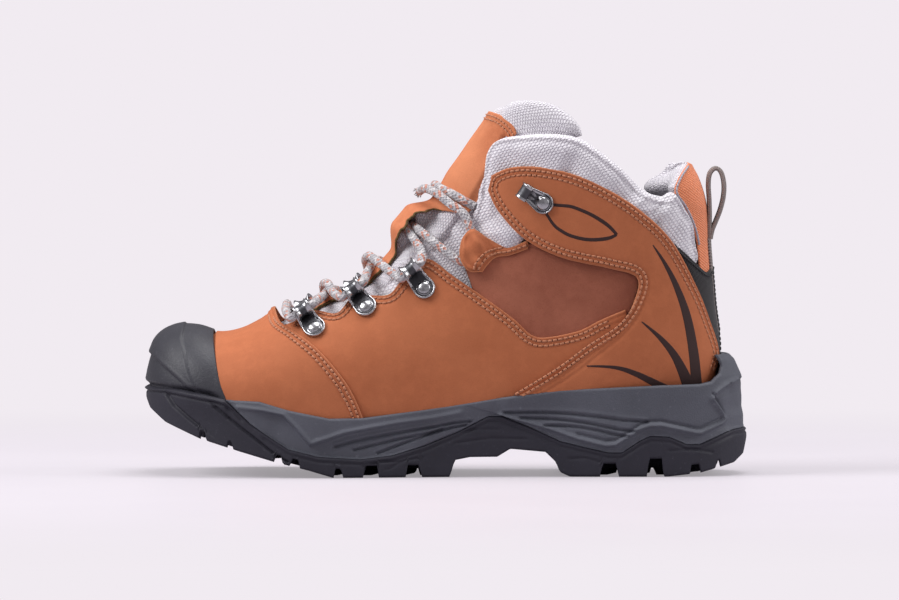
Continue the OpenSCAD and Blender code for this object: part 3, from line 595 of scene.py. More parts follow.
def leather(name, lit, shade, edge_colour, nap=1.0, sheen=0.25, rough=0.78, uv=False, raw_edge_and_shade=0.0):
    """Brushed leather: cloudy colour, fine nap, pores, a burnished edge and a coloured cut face, which on the
    tongue's keeper is partly painted shade.
    """
    g = Graph(name)
    at = g.coords(uv)
    k = 0.1 if uv else 1.0
    cloud = g.noise(at, 26 * k, 3, 0.6, 0.4)
    patch = g.noise(at, 150 * k, 4, 0.65)
    grain = g.noise(at, 1500 * k, 3, 0.7)
    fine = g.noise(at, 4200 * k, 2, 0.6)
    colour = g.mix(g.ramp(cloud, 0.36, 0.66), shade, lit)
    colour = g.mix(g.times(g.ramp(patch, 0.42, 0.7), 0.28), colour, tone(lit, 1.22))
    colour = g.mix(g.times(g.ramp(grain, 0.5, 0.75), 0.30 * nap), colour, tone(shade, 0.62))
    colour = g.mix(g.times(g.ramp(fine, 0.55, 0.72), 0.22 * nap), colour, tone(lit, 1.5))
    rim = g.rim()
    worn = g.ramp(g.plus(rim, g.times(patch, 1.6)), 0.9, 3.0)
    wear = g.times(g.minus(1.0, worn), 0.45)
    colour = g.mix(wear, colour, tone(shade, 0.72))
    # On the tongue's keeper the edge colour is partly the cut face and partly painted shade
    uncut = g.ramp(g.plus(rim, g.times(grain, 0.5)), 0.35 + raw_edge_and_shade, 0.75 + raw_edge_and_shade)
    cut_face_and_shade = g.minus(1.0, uncut)
    colour = g.mix(cut_face_and_shade, colour, edge_colour)
    height = g.plus(g.times(grain, 0.6), g.times(fine, 0.4))
    b = g.bump(height, 0.22 * nap, 0.8)
    b = g.bump(patch, 0.35, 0.35, b)
    return g.set(Base_Color=colour, Roughness=g.spread(grain, rough - 0.1, rough + 0.12),
                 Sheen_Weight=sheen, Sheen_Roughness=0.5, Sheen_Tint=lit, Normal=b, Specular_IOR_Level=0.25)


def split_uv(g, at):
    n = g.tree.nodes.new("ShaderNodeSeparateXYZ")
    g.put(n.inputs[0], at)
    return n.outputs[0], n.outputs[1]


def knit_mesh(name, light, hollow_shade, pitch=1.9, depth=0.45):
    """Spacer mesh: slanting rows of raised loops with small openings between them, darkened with painted
    shade.
    """
    g = Graph(name)
    at = g.coords(True)
    wobble = g.node("VectorMath", attrs={"operation": "MULTIPLY_ADD"},
                    i0=g.node("TexNoise", output=1, Vector=at, Scale=18.0),
                    i1=(0.012, 0.012, 0.0), i2=at)
    u, v = split_uv(g, wobble)
    k = 2 * math.pi / (pitch * 0.01)
    waves = []
    # Three sets of ridges at 60 degrees, stretched along a slant, leave oval loops
    along_u = g.times(g.plus(g.times(u, 0.8), g.times(v, 0.6)), 0.66)
    across_u = g.minus(g.times(v, 0.8), g.times(u, 0.6))
    for a in (0, math.pi / 3, 2 * math.pi / 3):
        line = g.plus(g.times(along_u, k * math.cos(a)), g.times(across_u, k * math.sin(a)))
        waves.append(g.math("COSINE", line))
    total = g.plus(g.plus(waves[0], waves[1]), waves[2])
    height = g.ramp(total, -1.6, 1.4)
    fibre = g.noise(at, 160.0, 2, 0.7)
    cloud = g.noise(at, 3.0, 3, 0.6)
    # Painted shade: the low parts between the loops take the darker colour
    colour = g.mix(g.ramp(total, -1.5, -0.3), hollow_shade, light)
    colour = g.mix(g.times(fibre, 0.35), colour, tone(light, 0.6))
    colour = g.mix(g.times(g.ramp(cloud, 0.4, 0.7), 0.2), colour, tone(light, 1.25))
    b = g.bump(height, depth, 1.0)
    b = g.bump(fibre, 0.15, 0.6, b)
    return g.set(Base_Color=colour, Roughness=0.92, Sheen_Weight=0.35, Sheen_Roughness=0.4, Normal=b,
                 Specular_IOR_Level=0.2)


def woven(name, light, hollow_shade, pitch_u, pitch_v, depth=0.3, rough=0.85, twill=0.0, sheen=0.2):
    """Plain weave or ribs: pitch_u across the ribs, pitch_v along them."""
    g = Graph(name)
    at = g.coords(True)
    u, v = split_uv(g, at)
    su = g.math("SINE", g.plus(g.times(u, 2 * math.pi / (pitch_u * 0.01)), g.times(v, twill * 100)))
    sv = g.math("SINE", g.times(v, 2 * math.pi / (pitch_v * 0.01)))
    height = g.plus(g.times(su, 0.5), g.times(g.times(su, sv), 0.5))
    fibre = g.noise(at, 220.0, 2, 0.7)
    # Painted shade: the low parts of the weave take the darker colour
    colour = g.mix(g.ramp(height, -0.8, 0.5), hollow_shade, light)
    colour = g.mix(g.times(fibre, 0.4), colour, tone(light, 0.55))
    b = g.bump(height, depth, 1.0)
    b = g.bump(fibre, 0.1, 0.5, b)
    return g.set(Base_Color=colour, Roughness=rough, Sheen_Weight=sheen, Normal=b, Specular_IOR_Level=0.25)


def moulded(name, colour, lighter, rough=0.55, pebble=0.12, scale=900.0, dust=0.2, spec=0.4):
    """Moulded rubber or foam: fine pebbled skin, faint clouding and pale scuffs."""
    g = Graph(name)
    at = g.coords()
    grain = g.noise(at, scale, 3, 0.6)
    cells = g.node("TexVoronoi", Vector=at, Scale=scale * 0.8)
    cloud = g.noise(at, 22.0, 4, 0.6, 0.5)
    scuff = g.noise(at, 420.0, 5, 0.75)
    base = g.mix(g.ramp(cloud, 0.35, 0.7), colour, tone(colour, 1.25))
    base = g.mix(g.times(g.ramp(scuff, 0.58, 0.75), dust), base, lighter)
    b = g.bump(g.plus(grain, g.times(cells, 0.5)), pebble, 0.8)
    return g.set(Base_Color=base, Roughness=g.spread(scuff, rough - 0.12, rough + 0.15),
                 Normal=b, Specular_IOR_Level=spec)


def metal(name, colour, rough=0.26):
    g = Graph(name)
    at = g.coords()
    brushed = g.noise(at, 700.0, 4, 0.7)
    spots = g.noise(at, 260.0, 3, 0.6)
    base = g.mix(g.ramp(spots, 0.45, 0.8), colour, tone(colour, 0.75))
    return g.set(Base_Color=base, Metallic=1.0, Roughness=g.spread(brushed, rough - 0.1, rough + 0.22),
                 Normal=g.bump(brushed, 0.015, 0.4))


def braid(name):
    """Round braided cord, grey and off-white with orange flecks; u runs along it and v round it."""
    g = Graph(name)
    at = g.coords(True)
    u, v = split_uv(g, at)
    k = 2 * math.pi / 0.021
    a = g.math("SINE", g.plus(g.times(u, k), g.times(v, k)))
    b = g.math("SINE", g.minus(g.times(u, k), g.times(v, k)))
    height = g.plus(g.math("MAXIMUM", a, b), g.times(g.math("MINIMUM", a, b), 0.3))
    fibre = g.noise(at, 260.0, 2, 0.7)
    one = g.math("FLOOR", g.plus(g.math("DIVIDE", u, 0.024), g.math("DIVIDE", v, 0.019)))
    two = g.math("FLOOR", g.minus(g.math("DIVIDE", u, 0.024), g.math("DIVIDE", v, 0.019)))
    top = g.math("FLOORED_MODULO", g.plus(one, two), 2.0)
    strand = g.plus(g.times(one, top), g.times(two, g.minus(1.0, top)))
    fleck = g.math("COMPARE", g.math("FLOORED_MODULO", strand, 5.0), 2.0, 0.4)
    pale = g.math("COMPARE", g.math("FLOORED_MODULO", strand, 3.0), 1.0, 0.4)
    colour = g.mix(pale, srgb(190, 187, 191), srgb(226, 222, 223))
    colour = g.mix(g.times(fleck, 0.8), colour, srgb(214, 126, 92))
    # Painted shade in the braid's low parts
    colour = g.mix(g.times(g.ramp(height, 0.3, -0.6), 0.3), colour, srgb(126, 122, 128))
    colour = g.mix(g.times(fibre, 0.25), colour, srgb(120, 116, 122))
    bumped = g.bump(fibre, 0.15, 0.6, g.bump(height, 0.22, 1.0))
    return g.set(Base_Color=colour, Roughness=0.88, Sheen_Weight=0.3, Normal=bumped, Specular_IOR_Level=0.2)


def plain(name, colour, rough, scale=1200.0, depth=0.1, metallic=0.0, sheen=0.0):
    g = Graph(name)
    at = g.coords()
    n = g.noise(at, scale, 4, 0.65)
    base = g.mix(g.ramp(n, 0.35, 0.7), tone(colour, 0.7), colour)
    return g.set(Base_Color=base, Roughness=g.spread(n, rough - 0.08, rough + 0.08), Metallic=metallic,
                 Sheen_Weight=sheen, Normal=g.bump(n, depth, 0.7))


NUBUCK = leather("tan_nubuck", srgb(186, 110, 73), srgb(179, 104, 68), srgb(196, 128, 92), nap=0.7)
SUEDE = leather("brown_suede", srgb(166, 101, 79), srgb(150, 88, 68), srgb(100, 60, 44), nap=1.3,
                sheen=0.45, rough=0.88)
TAB_SUEDE = leather("tab_suede", srgb(190, 114, 76), srgb(168, 96, 64), srgb(206, 138, 98), nap=1.3,
                    sheen=0.4, rough=0.86)
# Its dark olive edge colour is partly the raw cut edge and partly painted shade under the raised keeper
FACE_SUEDE = leather("tongue_suede", srgb(206, 130, 92), srgb(190, 112, 76), srgb(84, 70, 42), nap=1.2,
                     sheen=0.4, rough=0.86,
                     uv=True, raw_edge_and_shade=0.55)
MESH = knit_mesh("grey_mesh", srgb(240, 236, 242), srgb(180, 173, 186), pitch=1.3, depth=0.36)
LINING = knit_mesh("lining_mesh", srgb(176, 172, 182), srgb(122, 118, 128), pitch=1.3, depth=0.3)
RIBBED = woven("ribbed_fabric", srgb(255, 164, 116), srgb(250, 118, 70), 1.5, 1.1, 0.3, 0.7, twill=0.9)
STRAP = woven("strap_fabric", srgb(40, 37, 40), srgb(20, 19, 21), 1.0, 1.0, 0.15, 0.8)
WEBBING = woven("pull_webbing", srgb(166, 154, 150), srgb(92, 85, 86), 1.6, 0.9, 0.35, 0.8)
FOOTBED = woven("footbed_fabric", srgb(92, 92, 98), srgb(48, 48, 54), 1.1, 1.1, 0.2, 0.9)
FOAM = moulded("midsole_foam", srgb(82, 84, 93), srgb(138, 140, 150), rough=0.62, pebble=0.16, scale=1400.0,
               dust=0.35)
RUBBER = moulded("outsole_rubber", srgb(46, 45, 54), srgb(104, 104, 116), rough=0.58, pebble=0.08, dust=0.3,
                 spec=0.3)
TOE_RUBBER = moulded("toe_rubber", srgb(49, 49, 56), srgb(118, 118, 130), rough=0.5, pebble=0.14,
                     scale=1100.0, dust=0.28)
GUNMETAL = metal("gunmetal", (0.46, 0.46, 0.48, 1), 0.2)
# Near-black metal for the hollows of loops and hooks: painted shade
HOLLOW_SHADE_METAL = metal("gunmetal_hollow_shade", (0.1, 0.1, 0.11, 1), 0.42)
CORD = braid("lace_cord")
THREAD = plain("thread", srgb(202, 130, 90), 0.6, 3000.0, 0.1, sheen=0.3)
BLACK_THREAD = plain("black_thread", srgb(42, 42, 46), 0.6, 3000.0, 0.1)
GREY_THREAD = plain("grey_thread", srgb(186, 180, 190), 0.6, 3000.0, 0.1)
# Dark discs in the needle holes: painted shade
HOLE_SHADE = plain("needle_hole_shade", srgb(86, 46, 30), 0.9, 2000.0, 0.05)
PRINT = plain("print", srgb(56, 30, 27), 0.75, 1800.0, 0.12)
STEEL = plain("steel_strip", (0.5, 0.5, 0.52, 1), 0.35, 600.0, 0.02, metallic=1.0)
BOARD = plain("fibre_board", srgb(176, 140, 100), 0.9, 1500.0, 0.2)
STIFFENER = plain("stiffener", srgb(214, 206, 190), 0.8, 900.0, 0.1)


# ---------- Sole ----------
FOOTPRINT = [[-152.5, 6], [-149, -14], [-136, -31], [-112, -44.5], [-82, -51.5], [-50, -51.5], [-18, -46],
             [12, -42], [46, -40.5], [82, -41], [114, -39.5], [137, -31], [149.5, -16], [152.5, 0],
             [149.5, 16], [137, 31], [114, 39], [82, 38.5], [46, 35], [12, 34], [-18, 39], [-50, 49],
             [-82, 55], [-112, 53], [-136, 42], [-149, 25]]
HALF_LENGTH, LEAN_FROM = 152.5, 60
# The wall's top follows the feather line, a little above it from mid foot to heel and behind the toe cap
WALL_RISE, CREASE_RISE = 1.6, 1.0
TOP_LINE = [[x, z + WALL_RISE * float(ease((x + 60) / 35) * ease((100 - x) / 60))
             + CREASE_RISE * float(bell(x, -97, 10))] for x, z in FEATHER]
TOP_LINE += [[134, 47.5], [138.5, 52], [141, 57], [142.6, 61.5]]
HEEL_BACK = [[0, 152.5], [18, 152.5], [22.5, 152.4], [25, 151.2], [30, 151.2], [40, 151.6], [50, 149.8],
             [58, 146.2], [61.5, 142.8]]
BOUNDARY = [[-110.4, 38.3], [-105.5, 33.2], [-98.4, 26.6], [-91.8, 22.1], [-79.2, 14.1], [-64.3, 10.4],
            [-43, 9.1], [-27.1, 10.9], [-11.1, 15.7], [6.8, 23.1], [21.3, 30.3], [27.9, 30.3], [41, 25.4],
            [57.4, 17.7], [68.5, 15], [81.6, 12], [88.2, 12], [96.9, 17.7], [102.5, 20.4], [112.3, 19.9],
            [121.1, 16], [127.7, 16], [145.3, 23.2], [152.5, 24]]
TREAD = [[-152.6, 38], [-150, 32.7], [-142.4, 26.6], [-124.7, 19], [-104.5, 13], [-86.8, 7.9], [-69.1, 3.6],
         [-57, 0], [1.8, 0], [4.3, 8.4], [11.9, 9.9], [25.6, 10], [32.1, 14], [49.8, 12.4], [54.9, 7.4],
         [57, 2.3], [62, 0], [112, 0], [128, 1.6], [146, 6.2], [150.5, 10], [152.5, 18]]
# Notches between the side lugs: x from, x to, depth
NOTCHES = [[-124, -121, 4], [-110, -107.6, 3.5], [-86, -82.5, 4], [-78, -74, 4], [-56, -52.5, 4.5],
           [-41, -34, 6], [-20, -13, 6], [78, 86, 6.5], [101.5, 109, 9], [123, 128, 4.5], [136, 138.5, 3.5]]


def footprint_half(side):
    loop = np.array(FOOTPRINT[-1:] + FOOTPRINT + FOOTPRINT[:2], float)
    u = np.linspace(1, 14, 300) if side < 0 else np.linspace(27, 14, 300)
    p = spline(loop, u)
    angle = np.arccos(np.clip(-p[:, 0] / HALF_LENGTH, -1, 1))
    order = np.argsort(angle)
    return angle[order], p[order, 1]


FOOT_SIDES = {side: footprint_half(side) for side in (LATERAL, MEDIAL)}


def heel_x(x, z):
    # The heel's back wall leans with height; in front of it x stays
    leaning = LEAN_FROM + (x - LEAN_FROM) * (follow(HEEL_BACK, z) - LEAN_FROM) / (HALF_LENGTH - LEAN_FROM)
    return np.where(x > LEAN_FROM, leaning, x)


# What the rubber toe cap and the ankle panel add to the quarter's reach, and the clasp's margin and height
TOE_REACH, HEEL_REACH = 3.4, 1.9
CLASP, CLASP_HEIGHT = 1.1, 14


def reach(side):
    """How far out the upper stands just above the sole: x, and y taken outwards."""
    s = np.linspace(0.4, 15, 240)
    at = raised(s, side * rim_q(s, LAYER_1, 1.5), np.full(240, LAYER_1[1]))
    x = at[:, 0]
    return x, side * at[:, 1] + TOE_REACH * ease((-107 - x) / 5) + HEEL_REACH * ease((x - 24) / 8)


REACH = {side: reach(side) for side in (LATERAL, MEDIAL)}


def flare(side, x, y, z):
    """The top of the sole wall spreads until it clasps the upper; y is the wall's own place."""
    need = np.interp(x, *REACH[side]) + CLASP - side * y
    near_top = ease(1 - (follow(TOP_LINE, x) - z) / CLASP_HEIGHT)
    spread = side * 0.5 * (need + np.sqrt(need ** 2 + 1)) * near_top
    return spread * ease((x + 150) / 8) * ease((104 - x) / 24)


def line_distance(x, z, line):
    """Signed distance in the side view: positive to the left of the line's direction."""
    line = np.asarray(line, float)
    p = np.stack([x.ravel(), z.ravel()], -1)
    a, v = line[:-1], line[1:] - line[:-1]
    length = (v * v).sum(1) + 1e-9
    w = p[:, None] - a[None]
    t = np.clip((w * v).sum(2) / length, 0, 1)
    r = w - t[..., None] * v
    d = np.sqrt((r * r).sum(2))
    k = d.argmin(1)
    rows = np.arange(len(p))
    sign = np.sign(v[k, 0] * w[rows, k, 1] - v[k, 1] * w[rows, k, 0])
    return (d[rows, k] * sign).reshape(x.shape)


def ridge(x, z, line, height, width):
    return height * bell(line_distance(x, z, line), 0, width)


def groove(x, z, line, lip, lip_height):
    """A cut line with a low lip above it."""
    return ridge(x, z, line, -1.7, 0.6) + ridge(x, z, line + [0, lip], lip_height, 0.8)


def drop(d, width, fade):
    """1 just below the line that d is measured from, coming back to 0 over fade mm."""
    return ease(-d / width) * np.exp(-np.maximum(-d, 0) / fade)


V_LINE = [[-104.5, 35.2], [-92, 33.8], [-81.7, 31.7], [-75.1, 25.1], [-68.1, 17], [-60, 19.6],
          [-51.4, 22.6], [-37, 25.3], [-23.5, 27.6], [-8, 29.6], [6.8, 32.4]]
HEEL_RIDGE = [[27.1, 31.2], [51.9, 24.1], [66, 19], [80.2, 15.5], [85.3, 16], [97.9, 24.1], [102, 25.4],
              [108, 25.6], [125.7, 21.6], [128.3, 21.6], [139.4, 26.6], [140.9, 28.6], [137, 35],
              [134.3, 38.8], [135.9, 41.8], [141, 45.5], [147, 47.5]]


# Grooves of the fore part (below the line, x from, x to) and of the rear part (z from, z to, x to)
FORE_GROOVES = [(5.5, -56, 12), (9.8, -46, 10), (13.6, -34, -2)]
REAR_GROOVES = [(32.2, 27.6, 101), (29.6, 22.6, 96), (25.6, 20.2, 92)]


def midsole_relief(x, z):
    fore = -2.4 * ease(-line_distance(x, z, V_LINE) / 1.5) * ease((-3 - x) / 40)
    h = fore * ease((x + 104) / 20) + ridge(x, z, V_LINE, 1.0, 1.3)
    for k, (below, start, end) in enumerate(FORE_GROOVES):
        xs = np.linspace(start, end, 9)
        rise = 1 - 0.35 * (xs - start) / (end - start) * (k + 1) / 2
        h += groove(x, z, np.stack([xs, follow(V_LINE, xs) - below * rise], -1), 1.4, 0.4)
    h += ridge(x, z, HEEL_RIDGE, 1.5, 1.3) - 1.3 * drop(line_distance(x, z, HEEL_RIDGE), 1.0, 9)
    h += ridge(x, z, np.array(HEEL_RIDGE[2:14]) + [0, 2.6], -1.0, 0.6)
    for z0, z1, end in REAR_GROOVES:
        xs = np.linspace(30 + (32 - z0) * 3, end, 12)
        f = (xs - xs[0]) / (xs[-1] - xs[0])
        arch = 1.6 * np.sin(np.pi * np.minimum(f * 1.2, 1))
        h += groove(x, z, np.stack([xs, z0 + (z1 - z0) * f + arch], -1), 1.3, 0.35)
    # The recess at the very back of the heel, inside the ridge
    h += -1.2 * ease((x - 140) / 5) * ease((z - 29) / 6) * ease((47 - z) / 6)
    return h


BUMPER = [[-153, 41.9], [-142.7, 41.6], [-134, 40.2], [-125, 38.8], [-116.6, 37.4], [-111.4, 35.8],
          [-107, 33.0], [-103, 28.6]]
FACET_1 = [[-140.6, 40.5], [-137, 35.3], [-131, 30.4], [-124.6, 25.5]]
FACET_2 = [[-116.4, 35.3], [-110, 30.2], [-103.5, 25], [-95, 18.6], [-87.4, 12.6], [-80, 8]]


# Shallow curved cuts in the side of the tread: from x, z to x, z
SIPES = [(2, 21, 26, 24), (4, 17, 40, 19), (-42, 5.5, -24, 8), (-30, 4, -12, 10), (62, 9, 78, 7),
         (112, 13, 134, 12)]


def outsole_relief(x, z):
    h = 0.8 * ease(line_distance(x, z, BUMPER) / 1.4) * ease((-101 - x) / 5)
    h += ridge(x, z, BUMPER, -0.6, 0.6) * (x < -100)
    for line in (FACET_1, FACET_2):
        d = line_distance(x, z, line)
        h += 1.2 * drop(d, 0.8, 9) * (x < -70) - 1.2 * bell(d, 0, 0.6)
    sill = np.array(BOUNDARY) - [0, 2.4]
    h += ridge(x, z, sill[sill[:, 0] > -95], -0.6, 0.8)
    for x0, z0, x1, z1 in SIPES:
        h += ridge(x, z, [[x0, z0], [(x0 + x1) / 2, (z0 + z1) / 2 + 1.5], [x1, z1]], -0.55, 0.7)
    return h


def tread_depth(x, y):
    """Depth of the grooves between the lugs at a place seen from below; y is -1 to 1 across the sole."""
    soft = lambda v, width: ease((v + width / 2) / width)
    depth = np.zeros(np.broadcast(x, y).shape)
    edge_zone = soft(np.abs(y) - 0.62, 0.03)
    for x0, x1, d in NOTCHES:
        depth = np.maximum(depth, d * soft(x - x0, 0.8) * soft(x1 - x, 0.8) * edge_zone)
    # Centre lugs: chevrons parted by slanting grooves and two channels along the sole
    pitch = 17.0
    phase = np.mod(x + 10 * np.abs(y) + 3, pitch)
    cross_groove = soft(3.2 - np.abs(phase - pitch / 2), 0.9)
    channel = soft(0.045 - np.abs(np.abs(y) - 0.6), 0.03) + soft(0.03 - np.abs(y), 0.03)
    centre = np.maximum(cross_groove * (1 - edge_zone), np.clip(channel, 0, 1))
    depth = np.maximum(depth, 3.6 * centre)
    arch = soft(x - 0.5, 2) * soft(58 - x, 2)
    ribs = 1.0 * soft(1.2 - np.abs(np.mod(x, 7.0) - 3.5), 0.9) * soft(0.8 - np.abs(y), 0.1)
    ends = soft(150 - np.abs(x), 3)
    return (depth * (1 - arch) + ribs * arch) * ends


# Rounding of the wall's edges, the skin's distance inside the CAD's, and the least thickness
EDGE_ROUND, INSIDE_CAD, THINNEST = 1.4, 0.2, 0.4


def sole_wall(side, x_plan, y_plan, centre, z_top, low, v, relief):
    """One side wall, rows v from its top to low, pushed out by the relief and rounded at both edges."""
    z = z_top[:, None] + (low - z_top)[:, None] * v
    x = heel_x(x_plan[:, None], z)
    y = y_plan[:, None] + flare(side, x, y_plan[:, None], z)
    at = np.stack([x, y, z], -1)
    out = unit(np.cross(np.gradient(at, axis=0), np.gradient(at, axis=1)))
    out *= np.sign((out[..., 1:2] * (y - centre[:, None])[..., None]).sum()) or 1
    to_top, to_low, thick = z_top[:, None] - z, z - low[:, None], (z_top - low)[:, None]
    h = relief(x, z) * (ease(to_top / 1.5) * ease(to_low / 1.2) * ease(thick / 4))
    for d in (to_top, to_low):
        c = np.clip(d / EDGE_ROUND, 0, 1)
        h = h - EDGE_ROUND * (1 - np.sqrt(1 - (1 - c) ** 2)) * np.clip(thick / 4, 0, 1)
    return at + (h - INSIDE_CAD)[..., None] * out


def sole_piece(name, top, bottom, relief, x_from, mat, node, wall_rows, tread=False):
    """Sweeps a closed ring from toe to heel: top face, outer wall, underside, inner wall."""
    start = math.acos(max(-1.0, min(1.0, -x_from / HALF_LENGTH)))
    angle = np.linspace(start, math.pi, 460)
    x_plan = -HALF_LENGTH * np.cos(angle)
    y_plan = {side: np.interp(angle, *FOOT_SIDES[side]) for side in (LATERAL, MEDIAL)}
    centre = (y_plan[LATERAL] + y_plan[MEDIAL]) / 2

    def settle(function):
        """Heights on the plan once the heel's lean has moved it."""
        z = function(x_plan)
        for _ in range(8):
            z = function(heel_x(x_plan, z))
        return z

    def underside(x, y):
        return np.minimum(z_low + (tread_depth(x, y) if tread else 0), z_top - THINNEST)

    def top_rows(side):
        x, y, z = walls[side][:, 0].T
        return [np.stack([x, centre + (y - centre) * f, z], -1) for f in (0.0, 0.5, 0.8, 0.93)]

    z_top, z_low = settle(top), settle(bottom)
    low = underside(heel_x(x_plan, z_low), np.ones_like(z_low))
    v = crowded(wall_rows)
    walls = {side: sole_wall(side, x_plan, y_plan[side], centre, z_top, low, v, relief)
             for side in (LATERAL, MEDIAL)}
    ring = top_rows(LATERAL) + [walls[LATERAL][:, j] for j in range(wall_rows)]
    a, b = walls[LATERAL][:, -1], walls[MEDIAL][:, -1]
    for y in np.linspace(-1, 1, 75 if tread else 9)[1:-1]:
        f = (y + 1) / 2
        p = a * (1 - f) + b * f
        ring.append(np.stack([p[:, 0], p[:, 1], underside(p[:, 0], np.full(len(p), y))], -1))
    ring += [walls[MEDIAL][:, j] for j in range(wall_rows - 1, -1, -1)]
    ring = np.stack(ring + top_rows(MEDIAL)[::-1][:-1], 1)
    n, m = ring.shape[:2]
    piece = make(name, ring.reshape(-1, 3), tube_faces(n, m), mat)
    bm = bmesh.new()
    bm.from_mesh(piece.data)
    bmesh.ops.remove_doubles(bm, verts=bm.verts, dist=1e-5)
    bmesh.ops.recalc_face_normals(bm, faces=bm.faces)
    bm.to_mesh(piece.data)
    bm.free()
    return add(piece, nodes=[node])


def sole():
    top = lambda x: follow(TOP_LINE, x)
    split = lambda x: np.where(x < -111, top(x), np.minimum(follow(BOUNDARY, x), top(x)))
    ground = lambda x: follow(TREAD, x)
    sole_piece("midsole_foam_body", top, split, midsole_relief, -110.6, FOAM, "midsole", 64)
    sole_piece("outsole_tread", split, ground, outsole_relief, -HALF_LENGTH, RUBBER,
               "outsole", 60, tread=True)


# ---------- Upper ----------
F_LONG, F_ACROSS = crowded(150), crowded(56)


# Steps of the toe cap: the raised top panel, and the petals' lines with their depths
TOP_PANEL = [[-149, 73.5], [-144.8, 73.0], [-138, 73.4], [-132.3, 72.2], [-131.3, 62.7], [-129.3, 58.5],
             [-126.2, 49.9], [-122, 41.8], [-118, 32]]
PETALS = [([[-149, 66], [-145.8, 62.9], [-136, 53.5], [-124.1, 42.6], [-114, 33]], 1.5),
          ([[-154, 54.4], [-150.7, 51.6], [-147, 48.2], [-142, 43.6], [-132, 34]], 1.3)]


def toe_cap():
    p = Patch(over_toe(TOE_CAP_REAR, LAYER_3, 0.05, crowded(170) ** 1.2, crowded(230), -4.0))
    x, z = p.at[..., 0], p.at[..., 2]
    panel = line_distance(x, z, TOP_PANEL)
    h = 0.6 * drop(panel, 0.6, 30) + 0.15 * bell(panel, -0.9, 0.8)
    for line, depth in PETALS:
        d = line_distance(x, z, line)
        h += -depth * drop(d, 0.6, 9) + 0.2 * bell(d, 0.6, 0.7)
    flat, to_rear = 1.2 * ease((z - 45) / 20), np.exp(-(p.d["end"] / 7) ** 1.4)
    h = h * ease(p.border / 2) - flat - (1.5 - flat) * to_rear
    h += 1.8 * ease((-128 - x) / 14) * ease((71 - z) / 8)
    # The lower edge tucks in behind the bumper of the outsole
    tuck = 1 - ease((z - K * follow(FEATHER, x / K) - 0.4) / 2.6)
    h -= 2.8 * tuck * ease(p.d["end"] / 7)
    shell = p.shell("toe_cap_rubber", LAYER_3, TOE_RUBBER, bulge=h, inner_bulge=np.minimum(h, 0))
    add(shell, nodes=["toe_cap"])


def vamp(stitching):
    p = Patch(over_toe(VAMP_REAR, LAYER_2, 2.9, crowded(110) ** 1.1, crowded(170)))
    d = p.d["end"]
    lift = 2.6 * bell(d, 0, 4) * ease((0.17 - np.abs(p.rows[..., 1])) / 0.13)
    # Ahead of the toe cap's rear edge the leather sinks out of the way under the rubber
    x, z = p.at[..., 0], p.at[..., 2]
    ahead = np.interp(z, *np.array(TOE_CAP_REAR)[::-1, ::-1].T) - x
    h = stitched(d) + lift - 3.5 * ease((ahead - 0.6) / 3)
    add(p.shell("vamp_leather", LAYER_2, NUBUCK, bulge=h), nodes=["vamp"])
    for side in (LATERAL, MEDIAL):
        line = edge(VAMP_REAR, np.linspace(0.06, 1, 200), side, LAYER_2[1])
        line[:, 1] = side * np.minimum(np.abs(line[:, 1]), rim_q(line[:, 0], LAYER_2, 1.0))
        for k in STITCH_ROWS:
            stitching.row(inward(line, np.array([5.0, 0.3 * side]), k), LAYER_2[1] + 0.12)


def sole_line(x0, x1, n=18, lift=-2.2):
    x = np.linspace(x0, x1, n)
    return np.stack([x, follow(FEATHER, x) + lift], -1)


def quarter(side, tag, stitching):
    a = edge(sole_line(-49, 35), F_LONG, side)
    b = edge(THROAT + QUARTER_TOP, F_LONG, side, LAYER_1[1])
    p = Patch(ruled(a, b, F_ACROSS))
    add(p.shell("quarter_" + tag + "_leather", LAYER_1, NUBUCK, bulge=stitched(p.d["b"])),
        nodes=["quarter_" + tag])
    line = edge(THROAT + QUARTER_TOP, np.linspace(0.05, 0.955, 300), side, LAYER_1[1])
    for k in STITCH_ROWS:
        stitching.row(inward(line, np.array([9.0, 0.6 * side]), k), LAYER_1[1] + 0.12)


def inset(side, tag):
    a = edge(INSET_LOW, F_LONG, side, LAYER_0[1])
    b = edge(INSET_TOP, F_LONG, side, LAYER_0[1])
    p = Patch(ruled(a, b, F_ACROSS))
    puff = 0.9 * ease(p.border / 14)
    add(p.shell("suede_inset_" + tag + "_panel", LAYER_0, SUEDE, bulge=stitched(p.d["b"], (2.0,)) + puff),
        nodes=["suede_inset_" + tag])


